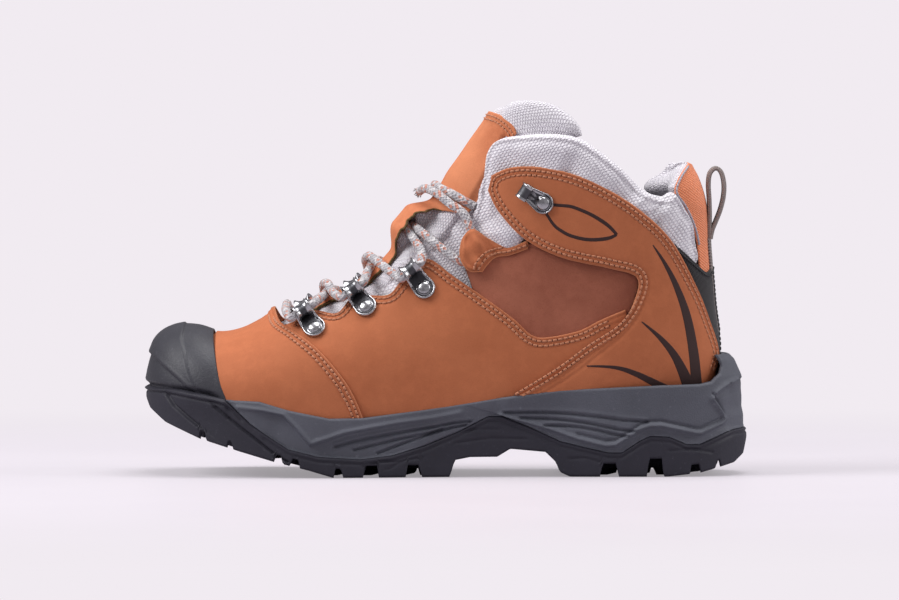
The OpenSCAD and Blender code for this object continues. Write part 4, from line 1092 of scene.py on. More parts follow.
def lace_tab(side, tag, stitching):
    """A folded strip: the lace runs through its open fold, and a band of it carries on under the collar."""
    n, m = 190, 60
    f = np.linspace(0, 1, n)
    low, high = (edge(line, f, side, LAYER_1[1]) for line in (TAB_LOWER, TAB_UPPER))
    g = 2 * crowded(m)[None] - 1
    pull = bell(f, 0, 0.16)[:, None] * 0.24 * g ** 2
    at = np.clip(f[:, None] + pull, 0, 1) * (n - 1)
    low, high = (along(line, at.ravel()).reshape(n, m, 2) for line in (low, high))
    p = Patch(low + (high - low) * (g[..., None] + 1) / 2)
    lobe = 1 - ease((p.u - 0.4) / 0.2)
    lift = 5.7 * lobe * np.maximum(np.sin(np.pi * p.v ** 1.35), 0) ** 0.55 + 0.5 * ease(p.border / 2)
    crease = 0.5 * np.sin(p.u * 30 + p.v * 5) + 0.4 * np.sin(p.u * 17 - p.v * 9)
    crease = crease + 0.3 * np.sin(p.v * 21 + p.u * 8)
    dip = -0.42 * (bell(p.d["a"], 1.8, 0.7) + bell(p.d["a"], 4.0, 0.7))
    h = lift + crease * lobe * ease(p.border / 3) + dip * (1 - 0.6 * lobe)
    add(p.shell("lace_tab_" + tag + "_suede", LAYER_1, TAB_SUEDE, bulge=h),
        nodes=["lace_tab_" + tag])
    at, out = p.at + (LAYER_1[1] + h)[..., None] * p.out, p.out
    for k in (1.8, 4.0):
        j = np.array([np.searchsorted(p.d["a"][i, :40], k) for i in range(8, n - 4)])
        keep = np.arange(8, n - 4)[j < 40]
        stitching.points(at[keep, j[j < 40]] + 0.1 * out[keep, j[j < 40]], out[keep, j[j < 40]])


def ankle_patch(side):
    a = edge(ANKLE_FRONT, F_LONG, side, LAYER_2[1])
    b = edge(ANKLE_REAR, F_LONG, side, LAYER_2[1])
    rows = ruled(a, b, crowded(84))
    base = rows[0].copy()
    base[:, 1] = side * np.minimum(rim_q(base[:, 0], LAYER_2), 0.9)
    up = crowded(len(rows))[:, None, None]
    return Patch(rows + (base - rows[0])[None] * (1 - up) ** 4)


def ankle_panel(side, tag, stitching):
    p = ankle_patch(side)
    open_edge = np.min([p.d[k] for k in ("a", "b", "end")], 0)
    puff = 0.35 * ease(open_edge / 12)
    add(p.shell("ankle_panel_" + tag + "_leather", LAYER_2, NUBUCK, bulge=stitched(open_edge) + puff),
        nodes=["ankle_panel_" + tag])
    front = edge(ANKLE_FRONT, np.linspace(0.03, 1, 400), side, LAYER_2[1])
    rear = edge(ANKLE_REAR, np.linspace(0.02, 1, 400), side, LAYER_2[1])
    loop = np.concatenate([front, rear[::-1]])
    for k in STITCH_ROWS:
        f = inward(loop, np.array([15.3, 0.5 * side]), k)
        stitching.row(f, LAYER_2[1] + 0.14)


def strokes(side, tag):
    """The printed leaf behind the hook and three claw strokes at the heel."""
    def stroke(name, line, widths):
        n = 70
        c = spline(line, np.linspace(0, len(line) - 1, n))
        w = np.interp(np.linspace(0, 1, n), np.linspace(0, 1, len(widths)), widths)
        across = np.stack([-np.gradient(c[:, 1]), np.gradient(c[:, 0])], -1)
        across /= np.linalg.norm(across, axis=1, keepdims=True)
        t = LAYER_2[1] + 0.6
        a, b = place(K * (c - across * w[:, None] / 2), t), place(K * (c + across * w[:, None] / 2), t)
        a[:, 1] *= side
        b[:, 1] *= side
        p = Patch(ruled(a, b, crowded(12)))
        return p.shell(name, (t - 0.2, t + 0.12), PRINT, radius=0.25)
    pieces = [
        stroke("print_leaf_upper_" + tag, [[52.4, 136.8], [58, 136.4], [63.6, 135.6], [72.9, 131.7],
                                           [81, 126.5], [85.7, 121.6]], [1.7, 1.7, 1.8, 2.0, 1.6]),
        stroke("print_leaf_lower_" + tag, [[85.6, 121.9], [82, 120.2], [76, 119.3], [69.4, 119.5],
                                           [62.5, 121.2], [57.8, 123.6], [54, 126.6], [50, 132.5]],
               [1.5, 2.0, 1.9, 1.8, 1.7, 1.5]),
        stroke("print_claw_1_" + tag, [[103.7, 116.6], [110.1, 106.7], [115.9, 95.1], [121, 80.5],
                                       [124.4, 62.5], [126.2, 44.5]],
               [0.5, 2.0, 3.2, 4.4, 5.2, 5.8]),
        stroke("print_claw_2_" + tag, [[98.1, 78], [107.9, 69.3], [115.6, 59.4], [122.6, 44.5]],
               [0.5, 2.6, 4.2, 6.8]),
        stroke("print_claw_3_" + tag, [[70.1, 55.4], [84.9, 54.8], [95.9, 51.4], [110.5, 44]],
               [0.5, 2.0, 3.0, 4.6])]
    for piece in pieces:
        add(piece)


def wrinkles(p, scale, seed):
    """Soft low waves over a patch, from a few fixed sines."""
    r = np.random.default_rng(seed)
    total = np.zeros((p.n, p.m))
    for _ in range(6):
        k = r.normal(size=3)
        k *= 2 * np.pi / (scale * r.uniform(0.7, 1.6)) / np.linalg.norm(k)
        total += np.sin(p.at @ k + r.uniform(0, 6.28))
    return total / 6


def collar(side, tag):
    f = crowded(190)
    a = edge(COLLAR_LOW, f, side)
    b = edge(COLLAR_TOP, f, side, 0.5)
    p = Patch(ruled(a, b, crowded(72)))
    puff = 2.0 * ease(p.border / 9) + 0.9 * wrinkles(p, 42, 3) * ease(p.border / 8)
    piping = 0.45 * bell(p.d["b"], 2.6, 0.8) - 0.35 * bell(p.d["b"], 4.4, 0.8)
    add(p.shell("collar_" + tag + "_mesh", (-6.6, 0.6), MESH, radius=3.6, bulge=puff + piping,
                inner_bulge=-0.2 * puff,
                side_uv=True, push=inflate(p, (-6.6, 0.6), cap=2.0)),
        nodes=["collar_pad_" + tag])


def rear_collar():
    rim = edge([[122.6, 158.6]] + COLLAR_REAR[1:], crowded(90), MEDIAL)
    p = Patch(ruled(rim, past_seam(rim), crowded(90)))
    puff = 1.2 * wrinkles(p, 30, 5) * ease(p.border / 8)
    sides = ease(np.minimum(p.d["a"], p.d["b"]) / 12)
    roll = -18.5 * np.exp(-((p.d["start"] - 8) / 10) ** 4) * sides
    up = 10.5 * bell(p.d["start"], 4, 12) * sides
    add(p.shell("collar_rear_mesh", (-10.5, -0.3), MESH, radius=5.0, bulge=0.3 * puff,
                inner_bulge=puff + roll,
                inner_push=up[..., None] * [0.0, 0.0, 1.0], push=inflate(p, (-10.5, -0.3), cap=1.0)),
        nodes=["collar_pad_rear"])


def heel_panel(stitching):
    rim = edge(HEEL_TOP, crowded(90), MEDIAL, LAYER_0[1])
    p = Patch(ruled(rim, past_seam(rim), crowded(90)))
    puff = 0.6 * ease(p.border / 8)
    add(p.shell("heel_panel_fabric", LAYER_0, RIBBED, bulge=puff), nodes=["heel_panel"])
    for side in (LATERAL, MEDIAL):
        line = edge(HEEL_TOP, np.linspace(0.04, 0.8, 120), side, LAYER_0[1])
        stitching.row(inward(line, np.array([18.5, 0.97 * side]), 0.7), LAYER_0[1] + 0.05, 2.0)


def back_strap(stitching):
    f = crowded(120)
    top = both_sides(edge(STRAP_TOP, np.linspace(0, 1, 9)), f)
    low = both_sides(edge(STRAP_LOW, np.linspace(0, 1, 9)), f)
    p = Patch(ruled(top, low, crowded(70)))
    # Thinner at the back seam, under the pull loop
    bulge = (0.5 - bell(p.rows[..., 1], 1, 0.06)) * ease(p.border / 6)
    add(p.shell("back_strap_fabric", LAYER_1, STRAP, bulge=bulge), nodes=["back_strap"])
    stitching.row(inward(top[8:-8], np.array([15.5, 1.0]), 2.0), LAYER_1[1] + 0.2, 2.4)
    for shift in (-0.05, 0.05):
        centre = np.stack([np.linspace(17.2, 15.4, 100), np.full(100, 1.0 + shift)], -1)
        stitching.row(centre, LAYER_1[1] + 0.05, 2.4)


def pull_base(stitching):
    """The sewn-down end of the pull loop, on the back seam."""
    lo, hi = (np.array(v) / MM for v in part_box("pull_loop"))
    share = ((hi[1] - lo[1]) / 2 / 36) ** 1.1 / np.pi
    s = np.linspace(16.4, 18.22, 60)
    p = Patch(ruled(np.stack([s, np.full(60, 1 - share)], -1), np.stack([s, np.full(60, 1 + share)], -1),
                    crowded(24)))
    add(p.shell("pull_base_webbing", (1.6, 3.3), WEBBING, radius=0.6))
    for shift in (-0.7, 0.7):
        stitching.row(np.stack([s[2:40], np.full(38, 1 + shift * share)], -1), 3.3, 2.2)


def linings():
    f = crowded(110)
    for side, tag in ((LATERAL, "lateral"), (MEDIAL, "medial")):
        top = np.concatenate([np.array(LINING_TOP), edge(COLLAR_INSIDE, np.linspace(0, 1, 7)),
                              [[18.9, 0.985]]])
        s = np.linspace(6.3, 14.7, 15)
        low = np.concatenate([np.stack([s, rim_q(s, OUTER_LINING, 0.4)], -1), [[15.2, 0.9], [15.35, 0.985]]])
        both = [spline(line, f * (len(line) - 1)) * [1, side] for line in (top, low)]
        p = Patch(ruled(both[0], both[1], crowded(60)))
        v = crowded(60)[None, :]
        lift = 4.6 * np.maximum(0, 2 * v - 1) + 0.5 * wrinkles(p, 45, 9) * ease(p.border / 8)
        add(p.shell("lining_" + tag, INNER_LINING, LINING, bulge=lift, side_uv=True),
            nodes=["quarter_lining_" + tag])
        web = lambda q: np.stack([np.linspace(7.2, 15.1, 130), np.full(130, side * q)], -1)
        far = web(0.3)
        far[:, 1] += side * 0.1 * bell(far[:, 0], 13.0, 1.2)
        g = Patch(ruled(web(0.185), far, crowded(36)))
        deep = -2.2 * ease((g.rows[..., 0] - 12.2) / 0.8)
        belly = np.sin(np.pi * crowded(36)[None, :]) ** 2
        folds = (0.8 * np.sin(g.u * 46) + 0.5 * np.sin(g.u * 83 + 1)) * belly + deep
        add(g.shell("gusset_" + tag + "_web", (-2.6, -1.6), MESH, bulge=folds, side_uv=True),
            nodes=["gusset_" + tag])
    u = crowded(90)
    rear = np.stack([np.full(90, 5.8), 0.8 * np.abs(2 * u - 1)], -1)
    s = 0.2 + (5.8 - 0.2) * crowded(60)[:, None] + 0 * u[None]
    rim = rim_q(s, OUTER_LINING, 0.3)
    w = (2 * u - 1)[None]
    q = w * rim + (np.sign(w) * np.minimum(rear[None, :, 1], rim) - w * rim) * crowded(60)[:, None] ** 4
    p = Patch(np.stack([s, q], -1))
    add(p.shell("vamp_lining_mesh", OUTER_LINING, LINING), nodes=["vamp_lining"])


def footbed():
    s = 0.7 + (15.0 - 0.7) * crowded(150)
    q = rim_q(s, [0], 5)
    sides = {k: raised(s, k * q, np.full(150, -7.2)) for k in (LATERAL, MEDIAL)}
    x = (sides[LATERAL][:, 0] + sides[MEDIAL][:, 0]) / 2
    v = crowded(60)[None]
    y = sides[LATERAL][:, 1:2] * (1 - v) + sides[MEDIAL][:, 1:2] * v
    w = 2 * v - 1
    cup = 2.6 * np.abs(w) ** 3 * ease((x + 20) / 60)[:, None]
    cup = cup + 3 * ease((x - 112) / 16)[:, None] * (1 - w ** 2) * 0.8
    base = follow(FEATHER, x)[:, None] + 2.3
    top = np.stack([x[:, None] + 0 * v, y, base + 4.5 + cup], -1)
    low = np.stack([x[:, None] + 0 * v, y, base + 0 * v], -1)
    uv = np.tile(top[..., :2].reshape(-1, 2), (2, 1))
    verts = np.concatenate([top.reshape(-1, 3), low.reshape(-1, 3)])
    cover = make("footbed_cover", verts, two_skins(*top.shape[:2])[1], FOOTBED, uv)
    add(cover, nodes=["footbed"])


def bend_tongue(obj, slot, *nodes):
    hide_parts(*nodes)
    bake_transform(obj)


def lean(s):
    """The tongue leans back from the lasted surface towards its tip."""
    return -4.0 * ease((s - 15.2) / 3.2)


def tongue():
    u = 2 * crowded(110) - 1
    f = crowded(250)[:, None]
    tip = edge(TONGUE_TIP, np.abs(u), MEDIAL, TONGUE[1] - 5.0)
    s = 6 + (tip[None, :, 0] - 6) * f
    narrow = 0.205 + 0.05 * ease((s - 12.3) / 1.0)
    q = u[None] * narrow + (np.sign(u) * np.maximum(tip[:, 1], 0.255 * np.abs(u)) - 0.255 * u)[None] * f ** 8
    p = Patch(np.stack([s, q], -1))
    q = np.abs(q)
    inside = -5.4 * ease((q - 0.19) / (0.035 + 0.15 * ease((s - 16.6) / 1.2))) * ease((s - 12.3) / 1.0)
    folds = 0.8 * wrinkles(p, 26, 11) * ease((q - 0.11) / 0.04) * ease(p.border / 6)
    swell = 0.8 * keeper_lift(s) * (1 - bell(s, 12.72, 0.33)) * ease((0.1 - q) / 0.03)
    top = 1.4 * ease(p.border / 8) * ease((s - 16) / 1.5)
    # Nothing of the padding may stand in front of the suede face
    under = ease((s - 13.6) / 0.6) * ease((0.25 - q) / 0.02) * ease((18.2 - s) / 0.4)
    h = inside + lean(s)
    obj = p.shell("tongue_mesh", TONGUE, MESH, radius=3.4, bulge=h + folds + top + swell,
                  inner_bulge=h - 0.3 * top,
                  push=inflate(p, TONGUE, cap=1.6) * (ease((q - 0.13) / 0.06) * (1 - under))[..., None])
    bend_tongue(obj, "grey_mesh", "tongue_lower", "tongue_upper")


def keeper_lift(s):
    k = 1 - np.clip((np.abs(s - 12.75) - 0.4) / 1, 0, 1)
    return 7.9 * (1 - np.cos(np.pi * k)) / 2


def tongue_face(thread, hole_shade):
    u = 2 * crowded(100) - 1
    f = crowded(260)[:, None]
    tip = edge(FACE_TIP, np.abs(u), MEDIAL, FACE[1] - 3.8)
    s = 7.2 + (tip[None, :, 0] - 7.2) * f
    base = 0.12 + 0.108 * ease((s - 13.7) / 1.0)
    calm = 1 - 0.85 * ease((s - 13.9) / 0.6)
    hand = np.sign(u)
    wave = 0.0055 * np.sin(s * 5.3 + 1.2 * hand) + 0.0035 * np.sin(s * 12.7 + hand)
    wave = wave + 0.002 * np.sin(s * 29 + 2 * hand)
    q = u[None] * (base + wave * calm)
    q = q + (np.sign(u) * np.maximum(tip[:, 1], 0.228 * np.abs(u)) - 0.228 * u)[None] * ease((s - 17.2) / 1.0)
    p = Patch(np.stack([s, q], -1))
    buckle = 0.6 * wrinkles(p, 24, 13) * ease(p.border / 5)
    curl = 0.7 * np.exp(-p.border / 2.0)
    raised_part = ease(keeper_lift(s) / 4)
    under_collar = ease((np.abs(q) - 0.2) / 0.024) * ease((s - 14.6) / 0.6) * ease((18.1 - s) / 0.5)
    lift = keeper_lift(s) + buckle + curl * raised_part + lean(s) + 0.8 * ease((s - 14.5) / 1.0)
    lift = lift - 2.6 * under_collar
    obj = p.shell("tongue_face_suede", FACE, FACE_SUEDE, bulge=lift)
    # Only the open edges of the keeper show the dark edge colour: their cut face, partly painted shade under
    # the raised keeper
    s_all = np.concatenate([s.ravel(), s[1:-1, 1:-1].ravel()])
    values = np.empty(len(s_all), np.float32)
    rim = obj.data.attributes["rim"].data
    rim.foreach_get("value", values)
    rim.foreach_set("value", (values + 3 * ease((s_all - 13.9) / 0.5)).astype(np.float32))
    bend_tongue(obj, "tan_nubuck", "tongue_face_lower", "tongue_face_upper")
    # A double row of stitches follows its top edge
    rows = Stitching()
    at, out = p.at + (FACE[1] + lift + 0.12)[..., None] * p.out, p.out
    for k in (1.9, 3.9):
        j = np.arange(6, 94)
        i = np.array([len(f) - 1 - np.searchsorted(p.d["end"][::-1, c], k) for c in j])
        rows.points(at[i, j], out[i, j], 2.2)
    for obj in rows.build("tongue_stitching", thread, hole_shade, 2.2, 0.42):
        add(obj, body="tongue_top")


# ---------- Hardware ----------
def hardware_frame(points, side, t):
    a = place(K * np.array(points[0], float), t + GAP + PLATE_T)
    b = place(K * np.array(points[1], float), t + EYE_Z)
    at = raised(a[0], side * a[1], np.array(t))
    out = normal(a[0], side * a[1])
    to = lasted(b[0], side * b[1]) - at
    u = unit(to - (to @ out) * out)
    return at, np.stack([u, np.cross(out, u), out])


def in_frame(points, at_axes):
    at, axes = at_axes
    return at + np.asarray(points) @ axes


def teardrop(r0, r1, length, n=72):
    """Outline round two circles, r0 at the origin and r1 at length along x."""
    lean = math.asin((r0 - r1) / length)
    a = np.linspace(-math.pi / 2 + lean, math.pi / 2 - lean, n // 2)
    near = np.stack([length + r1 * np.cos(a), r1 * np.sin(a)], -1)
    b = np.linspace(math.pi / 2 - lean, 3 * math.pi / 2 + lean, n // 2)
    far = np.stack([r0 * np.cos(b), r0 * np.sin(b)], -1)
    return np.concatenate([near, far])


# Rings of a dished plate: share of the way out, height
PLATE_PROFILE = [(0.02, 0.95), (0.3, 0.95), (0.62, 1.0), (0.76, 1.1), (0.83, 1.5), (0.885, 2.05),
                 (0.93, 2.2), (0.975, 2.05), (1.0, 1.6), (1.0, 0.8), (0.975, 0.4), (0.9, 0.3), (0.4, 0.3),
                 (0.02, 0.3)]


def dished_plate(r0, r1, length, centre_x):
    """Teardrop plate with a raised bead round its edge and a hollow face."""
    outline = teardrop(r0, r1, length)
    centre = np.array([centre_x, 0])
    rings = []
    for f, z in PLATE_PROFILE:
        rings.append(np.column_stack([centre + (outline - centre) * f, np.full(len(outline), z)]))
    return np.concatenate(rings), grid_faces(len(rings), len(outline), close=True)


def lathe(profile, sides=48):
    """Rings of (radius, height) round the z axis."""
    a = np.arange(sides) * 2 * np.pi / sides
    rings = [np.stack([r * np.cos(a), r * np.sin(a), np.full(sides, z)], -1) for r, z in profile]
    return np.concatenate(rings), grid_faces(len(rings), sides, close=True)


def ring_tube(profile, axis_at, sides=44):
    """Closed loop of (radius, along) turned round a line parallel to y at (x, z)."""
    a = np.arange(sides) * 2 * np.pi / sides
    rings = [np.stack([axis_at[0] + r * np.cos(a), np.full(sides, y), axis_at[1] + r * np.sin(a)], -1)
             for r, y in profile]
    seam = grid_faces(2, sides, close=True)
    seam = seam % sides + np.where(seam >= sides, 0, (len(rings) - 1) * sides)
    return np.concatenate(rings), np.concatenate([grid_faces(len(rings), sides, close=True), seam])


def gather(parts):
    verts, faces, count = [], [], 0
    for v, f in parts:
        verts.append(v)
        faces.append(np.asarray(f) + count)
        count += len(v)
    return np.concatenate(verts), np.concatenate(faces)


def spool(length=LOOP_LENGTH):
    """The tunnel: a short tube, waisted in the middle and flared to two bright ears."""
    y = np.linspace(-4.1, 4.1, 15)
    outer = [(3.0 + 1.9 * (abs(v) / 4.1) ** 2.0, v) for v in y]
    inner = [(2.5 + 1.5 * (abs(v) / 4.1) ** 2.2, v) for v in y[::-1]]
    return ring_tube(outer + [(4.45, 4.3)] + inner + [(4.45, -4.3)], (length, EYE_Z))


def shade_hollows(obj, chosen):
    """Gives the chosen faces a near-black metal: painted shade in the hollows."""
    obj.data.materials.append(HOLLOW_SHADE_METAL)
    obj.data.polygons.foreach_set("material_index", chosen.astype(int))


def lace_loop(i, side, tag):
    name = f"lace_loop_{tag}_{i + 1}"
    parts = [dished_plate(5.7, 4.3, LOOP_LENGTH, 2.5), spool()]
    # Two cheeks join the plate's edges to the tunnel's ears
    for k in (-1, 1):
        x = np.linspace(4.0, LOOP_LENGTH - 1.5, 14)
        f = (x - x[0]) / (x[-1] - x[0])
        mid = np.stack([x, k * (4.6 - 0.5 * f), 1.6 + 2.9 * ease(f)], -1)
        a = np.arange(10) * 2 * np.pi / 10
        rings = [mid[j] + np.stack([0 * a, 0.75 * np.cos(a), (0.8 + 0.9 * f[j]) * np.sin(a)], -1)
                 for j in range(14)]
        parts.append((np.concatenate(rings), grid_faces(14, 10, close=True)))
    verts, faces = gather(parts)
    obj = make(name + "_ring", in_frame(verts, hardware_frame(LOOPS[i], side, LAYER_1[1])), faces, GUNMETAL)
    x, y, z = verts[faces].mean(1).T
    recess = ((np.hypot(x, y) < 4.6) | ((x > 0) & (x < 7.5) & (np.abs(y) < 3.6))) & (z < 1.75)
    waist = (x > 7) & (np.abs(y) < 2.0) & (z > 0.5)
    # The recess round the rivet and the tunnel's waist get painted shade
    shade_hollows(obj, recess | waist)
    add(obj, body=name + "_body", nodes=[name])


def lace_hook(side, tag):
    name = "lace_hook_" + tag
    reach = 9.5
    parts = [dished_plate(5.4, 3.6, reach, 2.0)]
    # An open strip curled up from the plate's end and back over itself, with raised edges
    a = np.radians(np.linspace(-100, 128, 26))
    width = np.linspace(-3.9, 3.9, 13)
    skins = []
    for r in (2.9, 3.75):
        lipped = r + 0.55 * (np.abs(width) / 3.9) ** 4
        x = reach + 0.2 + lipped[None] * np.cos(a)[:, None]
        z = EYE_Z - 0.1 + lipped[None] * np.sin(a)[:, None]
        skins.append(np.stack([x, width[None] + 0 * x, z], -1))
    faces = two_skins(*skins[0].shape[:2])[1]
    parts.append((np.concatenate([skin.reshape(-1, 3) for skin in skins]), faces))
    verts, faces = gather(parts)
    obj = make(name + "_curl", in_frame(verts, hardware_frame(HOOK, side, LAYER_2[1] + 0.35)), faces,
               GUNMETAL)
    x, y, _ = verts[faces].mean(1).T
    # The curl's middle and the plate's hollow get painted shade
    shade_hollows(obj, ((np.abs(y) < 2.9) & (x > 7)) | ((x <= 7) & (np.hypot(x, y) < 4.4)))
    add(obj, body=name + "_body", nodes=[name])


def rivets():
    dome = [(0.05, 3.1), (0.9, 3.06), (1.8, 2.92), (2.5, 2.66), (3.0, 2.3), (3.3, 1.9), (3.42, 1.5),
            (3.5, 1.35), (3.75, 1.35), (3.9, 1.2), (3.85, 1.0), (1.5, 1.0), (1.5, -3.6), (0.05, -3.6)]
    for name, node, spots in (
            ("loop_rivet_domes", "loop_rivets", [(LOOPS[i], s, LAYER_1[1]) for s in (LATERAL, MEDIAL)
                                                 for i in range(3)]),
            ("hook_rivet_domes", "hook_rivets", [(HOOK, s, LAYER_2[1] + 0.35) for s in (LATERAL, MEDIAL)])):
        parts = []
        for points, side, t in spots:
            v, f = lathe(dome)
            parts.append((in_frame(v, hardware_frame(points, side, t)), f))
        verts, faces = gather(parts)
        add(make(name, verts, faces, GUNMETAL), nodes=[node])


# ---------- Lace ----------
LACE_D = 3.5
LACE_LOW = FACE[1] + 0.5 + LACE_D / 2
LACE_HIGH = LACE_LOW + LACE_D + 0.4
LACE_SIDE = LACE_LOW + 1.8
LACE_R = 2.15
FRAY_STRANDS, SAG = 42, np.array([0, 0, 0.5])


def way(points, side):
    return [raised(np.array(s), np.array(side * q), np.array(t)) for s, q, t in points]


def through(i, side):
    line = in_frame([[LOOP_LENGTH, v, EYE_Z] for v in (-6.8, -3.4, 0, 3.4, 6.8)],
                    hardware_frame(LOOPS[i], side, LAYER_1[1]))
    return list(line if line[0][0] < line[-1][0] else line[::-1])


def behind_tab(side):
    points = []
    for i in np.linspace(0, 1.4, 5):
        low, high = (place(K * spline(line, i), LAYER_1[1]) for line in (TAB_LOW, TAB_TOP))
        w = 0.36 * low + 0.64 * high
        points.append(raised(w[0], side * w[1], np.array(LAYER_0[1] + LACE_D / 2 + 0.7)))
    return points


def lace_half(side, low, high, under):
    return (through(0, side)
            + way([[8.05, 0.12, LACE_SIDE], [8.16, 0.06, low], [8.28, 0, low], [8.42, -0.06, low],
                   [8.55, -0.12, LACE_SIDE]], side)
            + through(1, -side)
            + way([[10.2, -0.12, LACE_SIDE], [10.38, -0.06, high], [10.55, 0, high], [10.72, 0.06, high],
                   [10.9, 0.14, LACE_SIDE]], side)
            + through(2, side)
            + way([[12.42, 0.215, 4.5], [12.5, 0.14, 3], [12.6, 0.07, under], [12.7, 0, under],
                   [12.8, -0.07, under], [12.87, -0.14, 3], [12.98, -0.225, 4.4],
                   [13.1, -0.285, 4.6]], side)
            + behind_tab(-side))


def lace_path():
    under = TONGUE[1] + 0.3 + LACE_D / 2
    inner = way([[14.5, 0.25, 4.4], [14.6, 0.12, LACE_LOW + 0.4], [14.65, 0, LACE_LOW + 0.1],
                 [14.7, -0.09, LACE_LOW], [14.82, -0.15, LACE_LOW], [14.92, -0.2, LACE_LOW - 1.0],
                 [15.0, -0.232, LACE_LOW - 3.5]],
                MEDIAL)
    outer = way([[14.5, 0.24, 5], [14.48, 0.183, 6], [14.45, 0.119, 6.8], [14.3, 0.05, 7.2],
                 [14.05, 0, 7.4]], LATERAL)
    bridge = [raised(np.array(6.7 - 0.02 * (q == 0)), np.array(q), np.array(t))
              for q, t in ((0.14, 6.8), (0, 5.6), (-0.14, 6.8))]
    path = (outer[::-1] + lace_half(MEDIAL, LACE_HIGH, LACE_LOW, under)[::-1] + bridge
            + lace_half(LATERAL, LACE_LOW, LACE_HIGH, under + LACE_D + 0.3) + inner)
    path = np.array(path)
    dense = spline(path, np.linspace(0, len(path) - 1, 3000))
    return along(dense, evenly(dense, 0.55))


def tube(path, radius, sides=20, braided=False):
    heading = unit(np.gradient(path, axis=0))
    side = np.empty_like(path)
    v = unit(np.cross(heading[0], [0, 0.2, 1]))
    for i, t in enumerate(heading):
        v = unit(v - (v @ t) * t)
        side[i] = v
    a = np.arange(sides) * 2 * np.pi / sides
    length = np.concatenate([[0], np.cumsum(np.linalg.norm(np.diff(path, axis=0), axis=1))])
    r = np.broadcast_to(np.asarray(radius, float).reshape(-1, 1), (len(path), sides)).copy()
    if braided:
        k = 2 * np.pi / 4.2
        one, two = np.sin(k * length[:, None] + 4 * a[None]), np.sin(k * length[:, None] - 4 * a[None])
        r = r * (1 + 0.045 * np.maximum(one, two))
    other = np.cross(heading, side)
    across, up = np.cos(a)[None, :, None] * side[:, None], np.sin(a)[None, :, None] * other[:, None]
    verts = path[:, None] + r[..., None] * (across + up)
    uv = np.stack(np.broadcast_arrays(length[:, None], np.abs(a[None] - np.pi) * LACE_R), -1)
    return verts.reshape(-1, 3), tube_faces(len(path), sides), uv.reshape(-1, 2)


def lace():
    path = lace_path()
    r = np.full(len(path), LACE_R)
    verts, faces, uv = tube(path, r, 22, braided=True)
    add(make("lace_braid", verts, faces, CORD, uv), nodes=["lace"])
    # The loose end is frayed
    end, back = path[0], unit(path[0] - path[6])
    parts, count, all_faces, all_uv = [], 0, [], []
    for _ in range(FRAY_STRANDS):
        spread = unit(back + 0.55 * rng.normal(size=3))
        start = end - back * 1.5 + 1.2 * rng.normal(size=3) * 0.6
        size = rng.uniform(2.2, 4.6)
        curve = np.array([start + back * size * 0.4 * t + spread * size * 0.8 * t ** 1.5 - SAG * t ** 2
                          for t in np.linspace(0, 1, 7)])
        v, f, w = tube(curve, np.linspace(0.34, 0.14, 7), 6)
        parts.append(v)
        all_uv.append(w + rng.uniform(0, 30, 2))
        all_faces += [[i + count for i in face] for face in f]
        count += len(v)
    add(make("lace_fray", np.concatenate(parts), all_faces, CORD, np.concatenate(all_uv)))


def pull_loop():
    lo, hi = (np.array(v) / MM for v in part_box("pull_loop"))
    line = np.array([[133.2, 118.6], [133.3, 124], [133.4, 131], [133.2, 139], [132.8, 146.4],
                     [133.6, 152.0], [136.5, 154.5], [139.3, 152.4], [140.7, 146.5], [140.4, 140],
                     [138.8, 133.5], [136.6, 127.8], [134.8, 123.4], [133.8, 118.8]])
    c = spline(line, np.linspace(0, len(line) - 1, 120))
    heading = unit(np.gradient(c, axis=0))
    out = np.stack([-heading[:, 1], heading[:, 0]], -1)
    v = 2 * crowded(26) - 1
    half = (hi[1] - lo[1]) / 2
    thick = 1.0 * np.sqrt(1 - np.clip((np.abs(v) - 0.92) / 0.08, 0, 1) ** 2) + 0.12 * np.cos(v * 9)
    rings = []
    for i in range(len(c)):
        squeeze = 1 - 0.12 * math.sin(math.pi * i / (len(c) - 1))
        across = np.concatenate([v, v[::-1]])
        lift = np.concatenate([thick, -thick[::-1]])
        place_ = c[i] + out[i] * lift[:, None]
        rings.append(np.stack([place_[:, 0], half * squeeze * across, place_[:, 1]], -1))
    rings = np.array(rings)
    n, m = rings.shape[:2]
    length = np.arange(n) * 0.62
    uv = np.stack([np.concatenate([v, v[::-1]])[None] * 8 + 0 * length[:, None],
                   length[:, None] + np.zeros((1, m))], -1)
    webbing = make("pull_loop_webbing", rings.reshape(-1, 3), tube_faces(n, m), WEBBING, uv.reshape(-1, 2))
    add(webbing, body="heel_pull", nodes=["pull_loop"])


def finish_cad_nodes():
    for node, mat in (("shank", STEEL), ("insole_board", BOARD), ("toe_puff", STIFFENER),
                      ("heel_counter", STIFFENER),
                      ("eyestay_backing_lateral", STIFFENER), ("eyestay_backing_medial", STIFFENER),
                      ("rivet_washers", GUNMETAL)):
        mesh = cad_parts[node].data
        mesh.materials.clear()
        mesh.materials.append(mat)


# ---------- Stage ----------
PALE, BACKDROP = srgb(241, 235, 241), 1.0
FLOOR_GLOW, WORLD_LIGHT = 0.36, 0.32
# Name, place, size, power, aim
LIGHTS = [("key", (-1.25, -0.45, 1.15), 0.9, 23, (0, 0, 0.08)),
          ("top", (0.15, 0.1, 1.6), 1.0, 19, (0.02, 0, 0.08)),
          ("fill", (0.5, -1.6, 0.55), 1.3, 0.8, (0.02, 0, 0.08)),
          ("heel", (1.35, -0.15, 0.8), 0.8, 9, (0.08, 0, 0.1))]
# The camera's aim, distance and rise, and the width that it sees there
AIM, AWAY, RISE, SEEN_WIDTH = Vector((0.0015, -0.012, 0.0880)), 4.0, math.radians(1.9), 0.455
SENSOR = 36


def pale_light(tree, kind, strength):
    node = tree.nodes.new("ShaderNode" + kind)
    node.inputs[0].default_value, node.inputs[1].default_value = PALE, strength
    return node.outputs[0]


